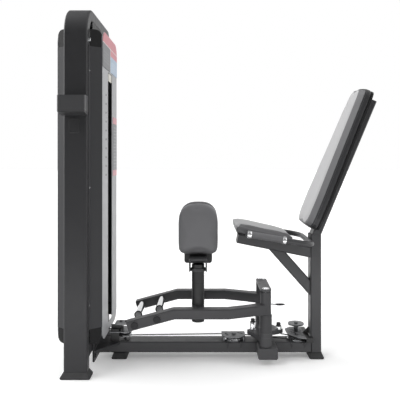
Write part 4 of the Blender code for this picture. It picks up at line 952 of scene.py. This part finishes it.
BACK_LEVELS = ((0.0008, 0.005, 0.005), (0.004, 0.002, 0.002), (0.027, 0.0015, 0.002),
               (0.031, 0.0030, 0.003), (0.0515, 0.0285, 0.008), (0.0530, 0.036, 0.016))
back_pad = stuffed("back_cushion", [back_ring(*level) for level in BACK_LEVELS],
                   (back_start + back_out * BACK_BOARD, back_out), crown=0.005, bulge=0.0015,
                   voxel=0.0045)
seam(back_pad, [back_ring(0.0290, 0.0, 0.0), back_ring(0.0525, 0.029, 0.008)], 0.0022)

FRONT_HEIGHT, SIDE_HEIGHT, TOP_END, LOW_END = 0.0518, 0.0300, 0.702, 0.040
# The front is drawn light, the sides dark and the ends near black: partly vinyl colour, partly
# painted light and painted shade.
back_vinyl = panelled_and_shaded("upholstery_vinyl_back_light_and_shade", "#6B6B6D", "#727274", (
    ("#3C3C3E", [beyond(-back_out, back_start + back_out * (BACK_BOARD + SIDE_HEIGHT))]),
    ("#BBBBBC", [beyond(back_out, back_start + back_out * (BACK_BOARD + FRONT_HEIGHT))]),
    ("#232324", [beyond(back_up, back_start + back_up * TOP_END),
                 beyond(-back_up, back_start + back_up * LOW_END)])))
upholster(back_pad, back_vinyl, "frame", "back_pad")
stitches("back_stitching", back_pad, back_ring(0.0240, 0.0, 0.0), "frame")

# ---------------------------------------------------------------- handles
# One bar bent round behind the seat; each end has a foam rubber grip between two chrome collars.
# The grip's skin is matt with fine moulded pores.
grip_rubber = finish("foam_rubber_grip", "#8A8A8B", Roughness=0.58, Specular_IOR_Level=0.3)
relief(grip_rubber, cells(grip_rubber, 0.0025), 0.18, 0.0005)
link(grip_rubber, blend(grip_rubber, noise(grip_rubber, 0.03, 5), "#6E6E70", "#7A7A7C"),
     "Base Color")
HANDLE_SLOPE, HANDLE_X, HANDLE_Y, HANDLE_Z = -0.168, -0.334, 0.165, 0.5937
HANDLE_PLUG = [(0.0102, 0.010), (0.0102, -0.0002), (0.0117, -0.0003), (0.0112, -0.0014),
               (0.0070, -0.0025), (0.0020, -0.0028)]
handle_along = Vector((1, 0, HANDLE_SLOPE)).normalized()


def on_handle(x, side):
    """Middle of the handle bar at x."""
    return Vector((x, side * HANDLE_Y, HANDLE_Z + HANDLE_SLOPE * (x - HANDLE_X)))


for name, side in SIDES:
    dress(name + "_handle_grip", grip_rubber, GRIP_EDGE, 3)
    collars = []
    for x, wide in ((-0.3283, 0.0180), (-0.1722, 0.0148)):
        profile = [(0.0127, -0.0002), (0.0152, 0.0), (0.0159, 0.0009), (0.0159, wide - 0.0009),
                   (0.0152, wide), (0.0127, wide + 0.0002)]
        collars.append(turned(profile, on_handle(x, side), handle_along, closed=True))
    piece(name + "_handle_collars", *joined(collars), chrome, "frame")
    piece(name + "_handle_plug", *turned(HANDLE_PLUG, on_handle(HANDLE_X, side), handle_along, 24),
          black_plastic, "frame")

# ---------------------------------------------------------------- cables
# Steel wire rope in a smooth black nylon jacket, 5 mm thick, from the stack to the far cam.
jacket = finish("nylon_coated_rope", "#222223", Roughness=0.38, Specular_IOR_Level=0.4)
relief(jacket, noise(jacket, 0.004, 2), 0.10, 0.0004)
dress_all(("stack_cable", "drive_cable"), jacket, 0)

# ---------------------------------------------------------------- studio
# A white sweep, soft light from both ends and above, and a darker room behind the camera.
# The sweep is plain white to the eye and greyer to the light that bounces off it.
SWEEP, SWEEP_Z, SWEEP_GLOW = 30, -0.0004, 0.18
SQUARE = ((-1, -1), (1, -1), (1, 1), (-1, 1))
sweep = bpy.data.meshes.new("studio_floor")
sweep.from_pydata([(x * SWEEP, y * SWEEP, SWEEP_Z) for x, y in SQUARE], [], [(0, 1, 2, 3)])
floor = stand("studio_floor", sweep)
paper = finish("white_paper_sweep", "#E6E6E6", Roughness=0.9, Specular_IOR_Level=0.1,
               Emission_Color=(1, 1, 1, 1))
ray = add(paper, "ShaderNodeLightPath", {}).outputs
link(paper, blend(paper, ray["Is Diffuse Ray"], "#FFFFFF", "#828282"), "Base Color")
seen = calc(paper, "MAXIMUM", ray["Is Camera Ray"], ray["Is Glossy Ray"])
link(paper, calc(paper, "MULTIPLY", seen, SWEEP_GLOW), "Emission Strength")
floor.data.materials.append(paper)

# The room is white to the eye.  As a light it is brightest behind the machine and low in front;
# in reflections its front and its ceiling are darker.
world = bpy.data.worlds.new("studio_room")
bpy.context.scene.world = world
world.use_nodes = True
room = world.node_tree.nodes["Background"]
room.inputs["Color"].default_value = (1, 1, 1, 1)
ray = add(world, "ShaderNodeLightPath", {}).outputs
x, y, z = axes(world, "Generated")


def between(share, under, over):
    """Mix of two strengths."""
    return add(world, "ShaderNodeMix", {0: share, 2: under, 3: over}, data_type="FLOAT").outputs[0]


light = between(spread(world, y, 0.0, 1.0, -0.2, 0.6), spread(world, z, 0.34, 0.03, 0.10, 0.65),
                0.50)
front = spread(world, y, 0.25, 1.0, -0.6, 0.1)
ceiling = spread(world, z, 1.0, 0.20, 0.25, 0.75)
shown = calc(world, "MAXIMUM", calc(world, "MINIMUM", front, ceiling), ray["Is Camera Ray"])
clear = calc(world, "MAXIMUM", ray["Is Camera Ray"], ray["Is Glossy Ray"])
clear = calc(world, "MAXIMUM", clear, ray["Is Transmission Ray"])
world.node_tree.links.new(between(clear, light, shown), room.inputs["Strength"])

for name, towards, strength, angle in (("light_from_seat_end", (-1.0, 0.0, -0.50), 1.4, 80),
                                       ("light_from_tower_end", (1.0, 0.0, -0.70), 2.9, 80),
                                       ("light_from_above", (0.0, 0.05, -1.0), 0.6, 100)):
    lamp = bpy.data.lights.new(name, "SUN")
    lamp.energy = strength
    lamp.angle = math.radians(angle)
    stand(name, lamp, rotation=Vector(towards).to_track_quat("-Z", "Y").to_euler())
strip = bpy.data.lights.new("low_strip_light", "AREA")
strip.shape = "RECTANGLE"
strip.size, strip.size_y, strip.energy = 3.0, 0.20, 4.5
stand("low_strip_light", strip, (-0.5, -1.05, 0.12), Y.to_track_quat("-Z", "Z").to_euler())
bpy.context.scene.view_settings.view_transform = "Standard"
